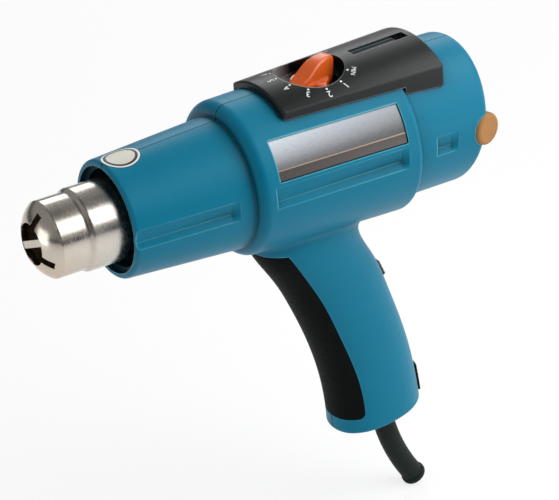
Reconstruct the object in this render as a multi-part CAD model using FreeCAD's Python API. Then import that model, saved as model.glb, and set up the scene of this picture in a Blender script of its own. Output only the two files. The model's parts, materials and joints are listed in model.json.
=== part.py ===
"""Heat gun: a steel nozzle in a two-part plastic shell with a pistol handle.

Frame: millimetres, +Z up.  The barrel lies along X and the nozzle points to -X.
The origin is on the barrel axis at the shoulder that stops a push-on nozzle.
"""
import FreeCAD, Part
import math
import os

V = FreeCAD.Vector
os.makedirs("parts", exist_ok=True)

# ---------------------------------------------------------------- dimensions
WALL = 2.5            # shell wall
HANDLE_WALL = 3.2     # handle wall, thicker because the grip pad is let into it
SEAM_GAP = 0.3        # parting line between the two shell halves
FIT_GAP = 0.2         # between fixed pieces that seat on curved faces
SLIDE_GAP = 0.3       # between pieces that move and what they pass
SHAFT_CLEARANCE = 0.05
TOUCH = 0.01          # closer than this counts as the same place
OVERCUT = 1.0         # how far a cutting solid passes the face it cuts
REACH = 60.0          # past the shell on any side of the barrel
ALONG = (-100.0, 300.0)   # past both ends of the gun along X
BLOCK = 400.0         # side of a cube that stands for a half space

# Nozzle
NOZZLE_R = 17.0
NOZZLE_WALL = 0.9
NOZZLE_SEAT_LENGTH = 12.0
NOZZLE_DOME_LENGTH = 6.3
MOUTH_R = 9.3
DOME_BULGE = 0.5
RIDGE_R = 0.9         # the crisp ridge where the dome meets the seat
NECK_R = 18.3
NECK_STEP_LENGTH = 3.0
NECK_LENGTH = 58.0
SLOT_WIDTH = 3.5
SLOT_REACH = 14.4
SLOT_MARGIN = 0.5
BAR_WIDTH = 3.2
BAR_SET_BACK = 0.2
BAR_ANGLE = 155.0
SLOT_OFFSET = 50.0

# Shell
TUBE_MOUTH_X = 17.2
TUBE_MOUTH_R = 26.2
TUBE_ROOT_R = 29.9
TUBE_LIP_R = 21.9
TUBE_LIP_DEPTH = 3.0
TUBE_LIP_T = 2.0
TUBE_MOUTH_ROUND = 1.6
BODY_FRONT_X = 73.5
BODY_FRONT_R = 35.0
BODY_LIP_R = 5.0
BODY_STEP_ROUND = 2.6
BODY_REAR_X = 155.5
BODY_REAR_R = 37.1
BODY_RISE = 1.2       # body axis above the barrel axis
REAR_R = 33.6
REAR_RISE = 2.6       # rear section's axis above the barrel axis
REAR_END_X = 192.5
REAR_LEAN = 9.1       # degrees that the end face leans, its top to the rear
REAR_EDGE_R = 3.0
REAR_OVERLAP = 8.0    # how far the rear section runs on inside the body

# Handle: height, centre, half depth and half width of each section
HANDLE_SECTIONS = [
    (-28.0, 116.0, 30.0, 17.5),
    (-41.0, 114.6, 26.4, 17.5),
    (-53.0, 121.0, 25.5, 17.1),
    (-72.0, 130.3, 24.4, 16.9),
    (-97.0, 139.5, 23.5, 16.9),
    (-127.0, 146.5, 23.0, 17.2),
    (-152.0, 148.8, 24.0, 17.2),
]
HANDLE_POWER = 2.25
HANDLE_STEPS = 16      # points that carry one oval
HANDLE_END_X = 148.3    # where the end face is at its stated height
HANDLE_END_Z = -141.1
HANDLE_END_LEAN = 7.9   # degrees that the end face leans, its front lower
HANDLE_END_R = 1.6
HANDLE_BLEND_R = 5.0    # fillet where the handle meets the body

# Grooves and windows in the shell's sides
# x from, x to, bottom z, z of the deepest line, top z, depth at each end of it
TUBE_GROOVE = (13.0, 66.0, -4.0, -1.0, 4.8, 1.2, 2.4)
BODY_GROOVE = (81.0, 148.0, -1.5, 1.5, 8.2, 1.4, 3.0)
REAR_RECESS = (165.0, 176.5, -2.5, 0.2, 6.5, 2.2, 2.2)
GROOVE_RUN = 3.6       # length over which a groove's floor slopes out at its rear
GROOVE_WALL = 1.6
PLATE_X = (83.5, 148.2)
PLATE_Z = (9.9, 25.9)
PLATE_T = 0.8
PLATE_RECESS = 1.5
PLATE_GAP = 0.25
PLATE_SEAT = 0.1

# Control panel and dial
PANEL_X = (94.6, 175.7)
PANEL_HALF_WIDTHS = (20.5, 25.0)     # at its front and rear ends
PANEL_FRONT_R = 38.6
PANEL_REAR_R = 42.1
PANEL_T = 2.2
PANEL_CORNER_R = 1.6
PANEL_EDGE_R = 1.1
PANEL_SLOT_X = (143.2, 172.2)
PANEL_SLOT_HALF_WIDTH = 3.0
PANEL_SLOT_DEPTH = 1.6
PANEL_CLIP_LENGTH = 5.0   # window for the clip at the slot's rear end
PANEL_LUG_X = (98.0, 166.0)
PANEL_LUG_LENGTH = 2.5
PANEL_LUG_HALF_WIDTH = 7.0
PANEL_LUG_DEPTH = 2.2
DIAL_X = 121.5
DIAL_WELL_R = 15.4
DIAL_WELL_T = 1.5
DIAL_FLOOR_Z = 32.5
DIAL_WELL_ROOM = 6.0   # opening in the shell reaches this far below the well's floor
DIAL_R = 8.6
DIAL_BASE_T = 3.0
DIAL_EDGE_R = 0.8
# fin's outline from the side: distance along the fin and height over the well's floor
DIAL_CREST = [(-9.0, -1.5), (-10.6, 1.8), (-5.0, 5.6), (0.0, 8.7), (7.0, 10.7),
              (13.2, 9.5), (12.8, 4.2), (6.0, -1.5)]
DIAL_CREST_R = 1.2
DIAL_FIN_HEIGHT = 12.0
DIAL_FIN_CENTRE = 1.5
DIAL_FIN_HALF_LENGTH = 15.5
DIAL_FIN_FOOT_HALF_T = 5.8
DIAL_FIN_TOP_HALF_T = 3.3
DIAL_FIN_ANGLE = 15.0
DIAL_POINTER_ANGLE = -91.0
DIAL_SOCKET_DEPTH = 2.0
POINTER_R = 2.7
POINTER_REACH = 9.8
POINTER_HEIGHT = 4.2
POINTER_TOP_R = 1.4
POT_SHAFT_R = 3.0
POT_R = 6.4
POT_T = 5.0
POT_FLOOR_T = 0.6

# Circuit board
BOARD_X = (96.0, 128.0)
BOARD_HALF_WIDTH = 20.0
BOARD_Z = 24.0
BOARD_T = 1.6
RAIL_COVER = 2.0
SINK_X = (98.0, 110.0)
SINK_Y = (-15.5, -6.5)
SINK_HEIGHT = 3.9
SINK_BASE_T = 1.2
SINK_BACK_T = 2.5
SINK_FIN_T = 2.0
SINK_SLOTS = 3
TRIAC_X = (100.0, 109.0)
TRIAC_T = 4.2
TRIAC_HEIGHT = 4.6
BOARD_CAPACITOR_PLACE = (105.0, 9.0)
BOARD_CAPACITOR_R = 4.0
BOARD_CAPACITOR_HEIGHT = 5.0

# Motor and fan
MOTOR_R = 14.0
MOTOR_X = (112.0, 146.0)
MOTOR_CAN_T = 1.2
MOTOR_CAP_T = 3.0
MOTOR_CAP_SPIGOT = 2.0
MOTOR_TAG_Y = 9.0
MOTOR_TAG_WIDTH = 3.0
MOTOR_TAG_LENGTH = 3.0
MOTOR_TAG_T = 1.0
MOTOR_BOSS_R = 4.0
MOTOR_BOSS_T = 2.0
SHAFT_R = 1.2
SHAFT_X = (110.5, 167.0)
ARMATURE_R = 10.5
ARMATURE_X = (117.0, 139.0)
ARMATURE_SLOTS = 3
ARMATURE_SLOT = 4.0
ARMATURE_CORE_R = 5.0
FAN_R = 27.0
FAN_HUB_R = 8.5
FAN_X = (154.0, 165.0)
FAN_BLADES = 9
FAN_BLADE_T = 1.4
FAN_PITCH = 42.0
FAN_BLADE_INSET = 0.5
FAN_HUB_EDGE_R = 2.0
BRACKET_R = 31.9
BRACKET_X = (130.5, 141.0)
BRACKET_T = 2.4
BRACKET_TOP_Z = 21.0
BRACKET_ARMS = 4
BRACKET_HUB_LENGTH = 19.0

# Heater
RING_X = (44.0, 48.0)
RING_R = 25.2
DUCT_X = (50.0, 104.0)
DUCT_T = 1.3
DUCT_REAR_R = 22.6
DUCT_STOP = 1.0         # inner step that the neck's end meets
DUCT_STOP_LENGTH = 6.0
SLEEVE_X = (3.2, 54.0)
SLEEVE_R = 17.2
SLEEVE_T = 0.6
CORE_X = (3.0, 53.0)
CORE_R = 13.4
CORE_T = 1.4
COIL_R = 13.5
COIL_TURNS = 9
COIL_WIRE = 1.0
COIL_MARGIN = 2.5
END_DISC_T = 2.4
END_DISC_HOLES = 8
END_DISC_HOLE_R = 2.6
END_DISC_HOLE_CIRCLE_R = 11.0
CUTOUT_R = 3.2
CUTOUT_LENGTH = 9.0

# Rear end
GRILLE_R = 21.5
GRILLE_T = 2.2
GRILLE_LEDGE = 1.6
GRILLE_SEAT = 1.4
GRILLE_RINGS = (5.0, 9.0, 13.0, 17.0)
GRILLE_SLOT = 2.4
GRILLE_SPOKES = 6
GRILLE_SPOKE_T = 1.8
GRILLE_EDGE_R = 0.6
FOOT_R = 7.5
FOOT_T = 6.0
FOOT_X = 193.5
FOOT_Y = 33.2
FOOT_Z = 2.1
FOOT_TURN = 15.0
FOOT_PEG_R = 2.2
FOOT_PEG_LENGTH = 4.0
FOOT_EDGE_R = 2.0

# Grip pad and heel pad
GRIP_T = 1.6
GRIP_FRONT_X = 60.0   # well in front of the handle, where the pad's outline closes
GRIP_GAP = 0.25
GRIP_EDGE = [(97.2, -38.4), (105.6, -52.5), (113.2, -66.4), (121.6, -86.6),
             (128.0, -104.0), (132.0, -119.0), (133.6, -131.5)]
GRIP_BOTTOM_Z = -134.6
GRIP_CORNER_R = 3.0
HEEL_Z = (-135.4, -121.6)
HEEL_HALF_WIDTH = 7.5
HEEL_PROUD = 1.2
HEEL_DEPTH = 1.6

# Switch
SWITCH_Z = -62.5
SWITCH_LEAN = 23.0    # degrees that the handle's back leans here
SWITCH_TRAVEL = 8.0
THUMB_LENGTH = 8.0
THUMB_WIDTH = 9.0
THUMB_PROUD = 1.3
THUMB_EDGE_R = 0.7
THUMB_GROOVES = 3
THUMB_GROOVE_PITCH = 2.2
THUMB_GROOVE_T = 1.0
THUMB_GROOVE_DEPTH = 0.5
APRON_LENGTH = 28.0
APRON_WIDTH = 11.0
APRON_T = 1.2
APRON_DEPTH = 4.7
SWITCH_BODY = (24.0, 13.0, 15.0)     # along the handle, across it, deep
SWITCH_TAG_LENGTH = 4.0
SWITCH_TAG_WIDTH = 5.0
SWITCH_TAG_T = 1.0
SWITCH_TAG_PITCH = 7.0

# Cord sleeve
CORD_R = 3.6
CORD_SLEEVE_R = 5.25
CORD_SLEEVE_START = (151.0, -135.5)
CORD_SLEEVE_ANGLES = (6.0, 32.0)
CORD_SLEEVE_BEND_R = 108.0
CORD_SLEEVE_TAIL = 7.0
CORD_COLLAR_R = 6.0
CORD_COLLAR_T = 3.0
CORD_COLLAR_EDGE_R = 1.0
CORD_FLANGE_R = 7.6
CORD_FLANGE_T = 2.4
CLAMP_X = (141.4, 159.7)
CLAMP_Z = (-130.0, -124.0)
CLAMP_T = 2.0
CLAMP_POST_X = (144.2, 156.9)
CLAMP_POST_R = 2.4
CLAMP_POST_Y = 3.2

# Parts that lie against the left wall of the handle
TERMINAL_X = (136.5, 152.5)
TERMINAL_Y = (-12.6, -5.0)
TERMINAL_Z = (-121.0, -112.5)
TERMINAL_SCREW_R = 1.2
LEAD_HOLE_R = 1.8
SUPPRESSOR_X = (131.1, 144.4)
SUPPRESSOR_Y = (-12.5, -5.5)
SUPPRESSOR_Z = (-100.0, -86.0)
SUPPRESSOR_EDGE_R = 0.8

RIB_T = 1.6            # moulded ribs inside the shell
RIB_HOLD = 1.5         # how far a rib's edge covers what it holds

# Screw posts that join the shell halves: x and z of each
POSTS = [(84.0, -27.5), (84.0, 26.8), (178.0, -24.0), (183.0, 27.5),
         (119.0, -77.0), (141.0, -107.5), (138.0, -135.0)]
POST_R = 4.2
SCREW_HEAD_R = 2.9
SCREW_HEAD_T = 2.0
SCREW_SHANK_R = 1.25
SCREW_LENGTH = 13.0
SCREW_HOLE_DEPTH = 14.0
SCREW_SEAT_Y = 6.0
SCREW_GAP = 0.3
SCREW_SLOT = 0.7
CLAMP_SCREW_LENGTH = 8.0
CLAMP_SCREW_R = 1.0
CLAMP_SCREW_HEAD_R = 2.2
SCREW_CROSS_SHARE = 0.65   # of the head's radius
SCREW_CROSS_DEPTH = 0.8
SCREW_HEAD_EDGE_R = 0.6


# ------------------------------------------------------------------- helpers
def export(name, shape):
    """Write one node."""
    shape.exportStep("parts/" + name + ".step")


def box(x, y, z):
    """A box from three (low, high) pairs."""
    return Part.makeBox(x[1] - x[0], y[1] - y[0], z[1] - z[0], V(x[0], y[0], z[0]))


def rod(radius, x, rise=0.0):
    """A cylinder along X between two stations."""
    return Part.makeCylinder(radius, x[1] - x[0], V(x[0], 0, rise), V(1, 0, 0))


def taper(radius_a, radius_b, x, rise=0.0):
    """A cone along X between two stations."""
    return Part.makeCone(radius_a, radius_b, x[1] - x[0], V(x[0], 0, rise), V(1, 0, 0))


def revolve(points, rise=0.0):
    """Turn an (x, radius) outline about the axis at height rise."""
    corners = [V(x, 0, rise + radius) for x, radius in points]
    face = Part.Face(Part.makePolygon(corners + corners[:1]))
    return face.revolve(V(0, 0, rise), V(1, 0, 0), 360)


def post(radius, x, z, y):
    """A cylinder along Y between two stations."""
    return Part.makeCylinder(radius, y[1] - y[0], V(x, y[0], z), V(0, 1, 0))


def fuse(shapes):
    """One solid from several that touch."""
    return shapes[0].multiFuse(shapes[1:]).removeSplitter()


def placed(shape, position, axis=V(0, 1, 0), angle=0.0):
    """A copy turned about an axis through its own origin, then moved."""
    copy = shape.copy()
    copy.Placement = FreeCAD.Placement(V(*position), FreeCAD.Rotation(axis, angle))
    return copy


def mirrored(shape):
    """The same piece on the other side of the parting plane."""
    return shape.mirror(V(0, 0, 0), V(0, 1, 0))


def body_radius(x):
    """Outer radius of the body at a station."""
    span = BODY_REAR_X - BODY_FRONT_X - BODY_LIP_R
    share = (x - BODY_FRONT_X - BODY_LIP_R) / span
    return BODY_FRONT_R + share * (BODY_REAR_R - BODY_FRONT_R)


def tube_radius(x):
    """Outer radius of the tube at a station."""
    share = (x - TUBE_MOUTH_X) / (BODY_FRONT_X - TUBE_MOUTH_X)
    return TUBE_MOUTH_R + share * (TUBE_ROOT_R - TUBE_MOUTH_R)


def panel_radius(x):
    """Outer radius of the panel's crown at a station."""
    share = (x - PANEL_X[0]) / (PANEL_X[1] - PANEL_X[0])
    return PANEL_FRONT_R + share * (PANEL_REAR_R - PANEL_FRONT_R)


def handle_wire(section, inset):
    """One closed section of the handle, a rounded oval."""
    height, centre, depth, width = section
    depth -= inset
    width -= inset
    points = []
    for step in range(HANDLE_STEPS):
        angle = 2 * math.pi * step / HANDLE_STEPS
        along, across = math.cos(angle), math.sin(angle)
        total = abs(along / depth) ** HANDLE_POWER + abs(across / width) ** HANDLE_POWER
        reach = total ** (-1 / HANDLE_POWER)
        points.append(V(centre + reach * along, reach * across, height))
    shares = [step / HANDLE_STEPS for step in range(HANDLE_STEPS + 1)]
    curve = Part.BSplineCurve()
    curve.interpolate(Points=points, PeriodicFlag=True, Parameters=shares)
    return Part.Wire(curve.toShape())


def handle_solid(inset=0.0):
    """The handle's form without its end face, inset evenly from its outer face."""
    return Part.makeLoft([handle_wire(s, inset) for s in HANDLE_SECTIONS], True, False)


def below_end(depth=0.0):
    """Everything below a plane parallel to the handle's end face, depth inside it."""
    slab = Part.makeBox(BLOCK, BLOCK, BLOCK, V(-BLOCK / 2, -BLOCK / 2, depth - BLOCK))
    return placed(slab, (HANDLE_END_X, 0, HANDLE_END_Z), V(0, 1, 0), -HANDLE_END_LEAN)


def handle_centre(z):
    """Centre of the handle at a height."""
    for upper, lower in zip(HANDLE_SECTIONS, HANDLE_SECTIONS[1:]):
        if lower[0] <= z <= upper[0]:
            share = (z - upper[0]) / (lower[0] - upper[0])
            return upper[1] + share * (lower[1] - upper[1])
    return HANDLE_SECTIONS[-1][1]


def handle_back(z):
    """Rearmost point of the handle at a height."""
    for upper, lower in zip(HANDLE_SECTIONS, HANDLE_SECTIONS[1:]):
        if lower[0] <= z <= upper[0]:
            share = (z - upper[0]) / (lower[0] - upper[0])
            depth = upper[2] + share * (lower[2] - upper[2])
            return handle_centre(z) + depth
    return HANDLE_SECTIONS[-1][1] + HANDLE_SECTIONS[-1][2]


def on_end_face(shape):
    """A shape made round the X axis, placed on the leaning rear end face."""
    return placed(shape, (REAR_END_X, 0, REAR_RISE), V(0, 1, 0), REAR_LEAN)


def edges_above(shape, z):
    """Edges that lie wholly above a height."""
    return [e for e in shape.Edges if e.BoundBox.ZMin > z]


# --------------------------------------------------------------------- shell
def rounded(shape, radius, x):
    """Round the circular edges at a station."""
    chosen = []
    for edge in shape.Edges:
        b = edge.BoundBox
        if abs(b.XMin - x) < TOUCH and abs(b.XMax - x) < TOUCH:
            chosen.append(edge)
    return shape.makeFillet(radius, chosen)


def tube_form(inset=0.0):
    """The tapered tube round the nozzle."""
    x = (TUBE_MOUTH_X, BODY_FRONT_X + BODY_LIP_R)
    form = taper(tube_radius(x[0]) - inset, tube_radius(x[1]) - inset, x)
    return form if inset else rounded(form, TUBE_MOUTH_ROUND, x[0])


def body_form(inset=0.0):
    """The main body, a barrel with a rounded front lip."""
    x = (BODY_FRONT_X + inset, BODY_REAR_X - inset)
    form = taper(body_radius(x[0]) - inset, body_radius(x[1]) - inset, x, BODY_RISE)
    if inset:
        return form
    return rounded(rounded(form, BODY_LIP_R, x[0]), BODY_STEP_ROUND, x[1])


def rear_form(inset=0.0):
    """The narrower rear section with its leaning end."""
    x = (BODY_REAR_X - REAR_OVERLAP, REAR_END_X + REAR_R)
    form = rod(REAR_R - inset, x, REAR_RISE)
    beyond = Part.makeBox(BLOCK, BLOCK, BLOCK, V(-inset, -BLOCK / 2, -BLOCK / 2))
    form = form.cut(on_end_face(beyond))
    if inset:
        return form
    end = [e for e in form.Edges if e.BoundBox.XMin > BODY_REAR_X]
    return form.makeFillet(REAR_EDGE_R, end)


def handle_form():
    """The handle with its leaning lower end."""
    form = handle_solid().cut(below_end())
    rise = HANDLE_SECTIONS[-1][2] * math.tan(math.radians(HANDLE_END_LEAN)) + OVERCUT
    rim = [e for e in form.Edges if e.BoundBox.ZMax < HANDLE_END_Z + rise]
    return form.makeFillet(HANDLE_END_R, rim)


def blended_handle():
    """The body and the handle with a fillet where they meet."""
    body, handle = body_form(), handle_form()
    joined = body.fuse(handle).removeSplitter()
    meeting = body.section(handle).BoundBox
    meeting.enlarge(OVERCUT)
    crease = [e for e in joined.Edges if meeting.isInside(e.BoundBox)]
    return joined.makeFillet(HANDLE_BLEND_R, crease)


def both_sides(shape):
    """A piece and its mirror image across the parting plane."""
    return Part.makeCompound([shape, mirrored(shape)])


def side_y(radius, rise, z):
    """How far out a round section reaches at a height."""
    return math.sqrt(radius ** 2 - (z - rise) ** 2)


def groove_cutter(groove, wall=0.0):
    """What cuts a groove in both sides, or with a wall kept behind it."""
    spec, radius_at, rise = groove
    x_from, x_to, low, deep, high, depth_from, depth_to = spec
    stations = [(x_from - wall, depth_from), (x_to - GROOVE_RUN + wall, depth_to), (x_to + wall, 0.0)]
    sections = []
    for x, depth in stations:
        radius = radius_at(x)
        bottom = side_y(radius, rise, low) - wall
        floor = side_y(radius, rise, deep) - depth - wall
        top = side_y(radius, rise, high) - wall
        if not depth:
            floor = max(bottom, floor, top)
        outline = [(REACH, low - wall), (bottom, low - wall), (floor, deep),
                   (top, high + wall), (REACH, high + wall)]
        corners = [V(x, -y, z) for y, z in outline]
        sections.append(Part.makePolygon(corners + corners[:1]))
    return both_sides(Part.makeLoft(sections, True, True))


def grooves():
    """Each side groove with the surface it is cut in."""
    return [(TUBE_GROOVE, tube_radius, 0.0), (BODY_GROOVE, body_radius, BODY_RISE),
            (REAR_RECESS, lambda x: REAR_R, REAR_RISE)]


def foot_axis(side):
    """Centre of a rear foot's outer face and the way it points."""
    turn = math.radians(FOOT_TURN)
    return V(FOOT_X, side * FOOT_Y, FOOT_Z), V(math.sin(turn), side * math.cos(turn), 0)


def foot_button(side, grow=0.0, reach=0.0):
    """The round body of one rear foot, grown for its pocket or its wall."""
    face, out = foot_axis(side)
    start = face - out * (FOOT_T + grow)
    return Part.makeCylinder(FOOT_R + grow, FOOT_T + grow + reach, start, out)


def foot_peg(side, grow=0.0):
    """The peg that holds one foot in the shell."""
    face, out = foot_axis(side)
    start = face - out * (FOOT_T + FOOT_PEG_LENGTH + grow)
    return Part.makeCylinder(FOOT_PEG_R + grow, FOOT_PEG_LENGTH + grow + OVERCUT, start, out)


def grip_outline(grow=0.0):
    """Side view of the grip pad as a slab across the handle, open to the front."""
    edge = Part.BSplineCurve()
    edge.interpolate([V(x + grow, 0, z) for x, z in GRIP_EDGE])
    first = V(GRIP_EDGE[0][0] + grow, 0, GRIP_EDGE[0][1])
    last = V(GRIP_EDGE[-1][0] + grow, 0, GRIP_EDGE[-1][1])
    low = V(last.x, 0, GRIP_BOTTOM_Z - grow)
    fall = (low.x - GRIP_FRONT_X) * math.tan(math.radians(HANDLE_END_LEAN))
    front_low = V(GRIP_FRONT_X, 0, low.z - fall)
    front_top = V(GRIP_FRONT_X, 0, first.z + grow)
    top = V(first.x, 0, first.z + grow)
    corners = [last, low, front_low, front_top, top]
    if grow:
        corners.append(first)
    lines = [Part.makeLine(a, b) for a, b in zip(corners, corners[1:])]
    face = Part.Face(Part.Wire([edge.toShape()] + lines))
    slab = face.translated(V(0, -REACH, 0)).extrude(V(0, 2 * REACH, 0))
    corner = [e for e in slab.Edges if e.CenterOfMass.sub(low).Length < TOUCH]
    return slab.makeFillet(GRIP_CORNER_R + grow, corner)


def handle_layer(depth, proud=0.0):
    """A skin of the handle, from its face (or proud of it) to a depth."""
    return handle_solid(-proud).cut(handle_solid(depth))


def heel_box(grow=0.0):
    """The stretch of the handle's back that the heel pad covers."""
    y = HEEL_HALF_WIDTH + grow
    x = handle_centre(HEEL_Z[0])
    return box((x, x + REACH), (-y, y), (HEEL_Z[0] - grow, HEEL_Z[1] + grow))


def switch_frame(shape):
    """Place a shape made with X out of the handle's back and Z up along it."""
    return placed(shape, (handle_back(SWITCH_Z), 0, SWITCH_Z), V(0, 1, 0), -SWITCH_LEAN)


def sleeve_direction(angle):
    """Unit vector at an angle from straight down, turning to the rear."""
    turn = math.radians(angle)
    return V(math.sin(turn), 0, -math.cos(turn))


def sleeve_bend(radius):
    """The curved stretch of the cord sleeve's path at a radius, with its centre."""
    start = V(CORD_SLEEVE_START[0], 0, CORD_SLEEVE_START[1])
    first, last = CORD_SLEEVE_ANGLES
    turn = math.radians(first)
    centre = start + V(math.cos(turn), 0, math.sin(turn)) * CORD_SLEEVE_BEND_R
    ring = Part.Face(Part.Wire(Part.makeCircle(radius, start, sleeve_direction(first))))
    return ring.revolve(centre, V(0, -1, 0), last - first), centre


def sleeve_seat(radius, depth=0.0):
    """A short cylinder on the sleeve's path, below the flange."""
    start = V(CORD_SLEEVE_START[0], 0, CORD_SLEEVE_START[1])
    way = sleeve_direction(CORD_SLEEVE_ANGLES[0])
    length = 2 * HANDLE_WALL
    return Part.makeCylinder(radius, length, start + way * (CORD_FLANGE_T / 2 + depth), way)


def inner_space():
    """The hollow of the shell, kept back from every groove and pocket."""
    handle = handle_solid(HANDLE_WALL).cut(below_end(HANDLE_WALL))
    space = fuse([tube_form(WALL), body_form(WALL), rear_form(WALL), handle])
    for groove in grooves():
        space = space.cut(groove_cutter(groove, GROOVE_WALL))
    for side in (-1, 1):
        space = space.cut(foot_button(side, FIT_GAP + WALL, REACH))
    return space


def ring_ribs(outer_r, x, hold_r, rise=0.0):
    """Two rings that hold a disc between them."""
    ribs = []
    for start in (x[0] - FIT_GAP - RIB_T, x[1] + FIT_GAP):
        ring = rod(outer_r, (start, start + RIB_T), rise)
        ribs.append(ring.cut(rod(hold_r, ALONG, rise)))
    return ribs


def ribs():
    """Rings, rails and posts moulded inside the shell."""
    lip = (TUBE_MOUTH_X + TUBE_LIP_DEPTH, TUBE_MOUTH_X + TUBE_LIP_DEPTH + TUBE_LIP_T)
    pieces = [rod(TUBE_MOUTH_R, lip).cut(rod(TUBE_LIP_R, ALONG))]
    pieces += ring_ribs(TUBE_ROOT_R, RING_X, RING_R - RIB_HOLD)
    above_bracket = box(ALONG, (-REACH, REACH), (BRACKET_TOP_Z, REACH))
    for ring in ring_ribs(BODY_REAR_R, BRACKET_X, BRACKET_R - RIB_HOLD, BODY_RISE):
        pieces.append(ring.cut(above_bracket))
    rail_z = (BOARD_Z - FIT_GAP - RIB_T, BOARD_Z - FIT_GAP)
    rail = box(BOARD_X, (-BODY_REAR_R, RAIL_COVER - BOARD_HALF_WIDTH), rail_z)
    pieces += [rail, mirrored(rail)]
    for x, z in POSTS:
        pieces.append(post(POST_R, x, z, (-REACH, REACH)))
    pieces.append(sleeve_seat(CORD_FLANGE_R, FIT_GAP))
    length, width, depth = SWITCH_BODY
    near = -APRON_DEPTH - APRON_T - SLIDE_GAP
    for low in (length / 2 + FIT_GAP, -length / 2 - FIT_GAP - RIB_T):
        shelf = box((near - depth, near), (-REACH, -width / 4), (low, low + RIB_T))
        pieces += [switch_frame(shelf), switch_frame(mirrored(shelf))]
    for x in CLAMP_POST_X:
        z = (CLAMP_Z[0] + CLAMP_Z[1]) / 2
        pieces.append(post(CLAMP_POST_R, x, z, (-REACH, CLAMP_POST_Y)))
    return pieces


def panel_prism(inset=0.0):
    """Plan outline of the control panel as an upright block."""
    (x_front, x_rear), (front, rear) = PANEL_X, PANEL_HALF_WIDTHS
    corners = [V(x_front + inset, inset - front, 0), V(x_rear - inset, inset - rear, 0),
               V(x_rear - inset, rear - inset, 0), V(x_front + inset, front - inset, 0)]
    block = Part.Face(Part.makePolygon(corners + corners[:1])).extrude(V(0, 0, REACH))
    if inset:
        return block
    upright = [e for e in block.Edges if e.BoundBox.ZLength > REACH / 2]
    return block.makeFillet(PANEL_CORNER_R, upright)


def panel_crown(inset=0.0):
    """The panel's crowned top, a taper about the body's axis."""
    x = (PANEL_X[0] - OVERCUT, PANEL_X[1] + OVERCUT)
    return taper(panel_radius(x[0]) - inset, panel_radius(x[1]) - inset, x, BODY_RISE)


def lug(x, grow=0.0):
    """One locating lug of the panel and, grown, its slot."""
    y = PANEL_LUG_HALF_WIDTH + grow
    top = BODY_RISE + panel_radius(x) - PANEL_T / 2
    shell_r = body_radius(x) + BODY_RISE if x < BODY_REAR_X else REAR_R + REAR_RISE
    low = shell_r - WALL - PANEL_LUG_DEPTH
    high = REACH if grow else top
    return box((x - grow, x + PANEL_LUG_LENGTH + grow), (-y, y), (low - grow, high))


def dial_cylinder(radius, z):
    """An upright cylinder on the dial's axis."""
    return Part.makeCylinder(radius, z[1] - z[0], V(DIAL_X, 0, z[0]))


def shell_cutters():
    """Everything cut into the shell from outside, the same in both halves."""
    cutters = [groove_cutter(groove) for groove in grooves()]
    cutters.append(handle_layer(GRIP_T + GRIP_GAP, OVERCUT).common(grip_outline(GRIP_GAP)))
    cutters.append(handle_layer(HEEL_DEPTH + GRIP_GAP, OVERCUT).common(heel_box(GRIP_GAP)))
    well = DIAL_WELL_R + DIAL_WELL_T + FIT_GAP
    cutters.append(dial_cylinder(well, (DIAL_FLOOR_Z - DIAL_WELL_ROOM, REACH)))
    cutters += [lug(x, FIT_GAP) for x in PANEL_LUG_X]
    reach = THUMB_LENGTH / 2 + SWITCH_TRAVEL / 2 + SLIDE_GAP
    half = THUMB_WIDTH / 2 + SLIDE_GAP
    cutters.append(switch_frame(box((-APRON_DEPTH, REACH), (-half, half), (-reach, reach))))
    cutters.append(sleeve_bend(CORD_SLEEVE_R + FIT_GAP)[0])
    cutters.append(ring_blank(FIT_GAP / 2))
    for side in (-1, 1):
        cutters.append(foot_button(side, FIT_GAP, REACH))
        cutters.append(foot_peg(side, FIT_GAP))
    counterbore = rod(GRILLE_R + FIT_GAP, (-GRILLE_SEAT, REACH))
    throat = rod(GRILLE_R - GRILLE_LEDGE, (-2 * WALL, REACH))
    return cutters + [on_end_face(counterbore), on_end_face(throat)]


def housing_halves():
    """The left and right shell halves."""
    outer = fuse([tube_form(), rear_form(), blended_handle()])
    shell = outer.cut(inner_space())
    shell = shell.multiFuse([rib.common(outer) for rib in ribs()])
    apron_room = switch_frame(box((-APRON_DEPTH - APRON_T - SLIDE_GAP, -APRON_DEPTH + SLIDE_GAP),
                                  (-APRON_WIDTH / 2 - SLIDE_GAP, APRON_WIDTH / 2 + SLIDE_GAP),
                                  (-APRON_LENGTH, APRON_LENGTH)))
    shell = shell.cut(apron_room)
    for cutter in shell_cutters():
        shell = shell.cut(cutter)
    left = shell.common(box(ALONG, (-REACH, -SEAM_GAP / 2), (-BLOCK, BLOCK)))
    right = shell.common(box(ALONG, (SEAM_GAP / 2, REACH), (-BLOCK, BLOCK)))
    left = left.cut(plate_layer(0.0, PLATE_RECESS, -OVERCUT))
    for x, z in POSTS:
        left = left.cut(post(SCREW_SHANK_R + SHAFT_CLEARANCE, x, z, (SCREW_SEAT_Y - SCREW_HOLE_DEPTH, 0)))
        right = right.cut(post(SCREW_SHANK_R + SCREW_GAP, x, z, (-OVERCUT, REACH)))
        right = right.cut(post(SCREW_HEAD_R + SCREW_GAP, x, z, (SCREW_SEAT_Y, REACH)))
    for x in CLAMP_POST_X:
        z = (CLAMP_Z[0] + CLAMP_Z[1]) / 2
        right = right.cut(post(CLAMP_POST_R + SLIDE_GAP, x, z, (-OVERCUT, CLAMP_POST_Y + OVERCUT)))
        bore_y = (CLAMP_POST_Y - CLAMP_SCREW_LENGTH, REACH)
        left = left.cut(post(CLAMP_SCREW_R + SHAFT_CLEARANCE, x, z, bore_y))
    return left, right


def plate_layer(gap, floor, top):
    """A skin of the body's left side at the name plate, between two depths."""
    skin = body_form(top).cut(body_form(floor))
    return skin.common(box((PLATE_X[0] + gap, PLATE_X[1] - gap), (-REACH, 0),
                           (PLATE_Z[0] + gap, PLATE_Z[1] - gap)))


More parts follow.
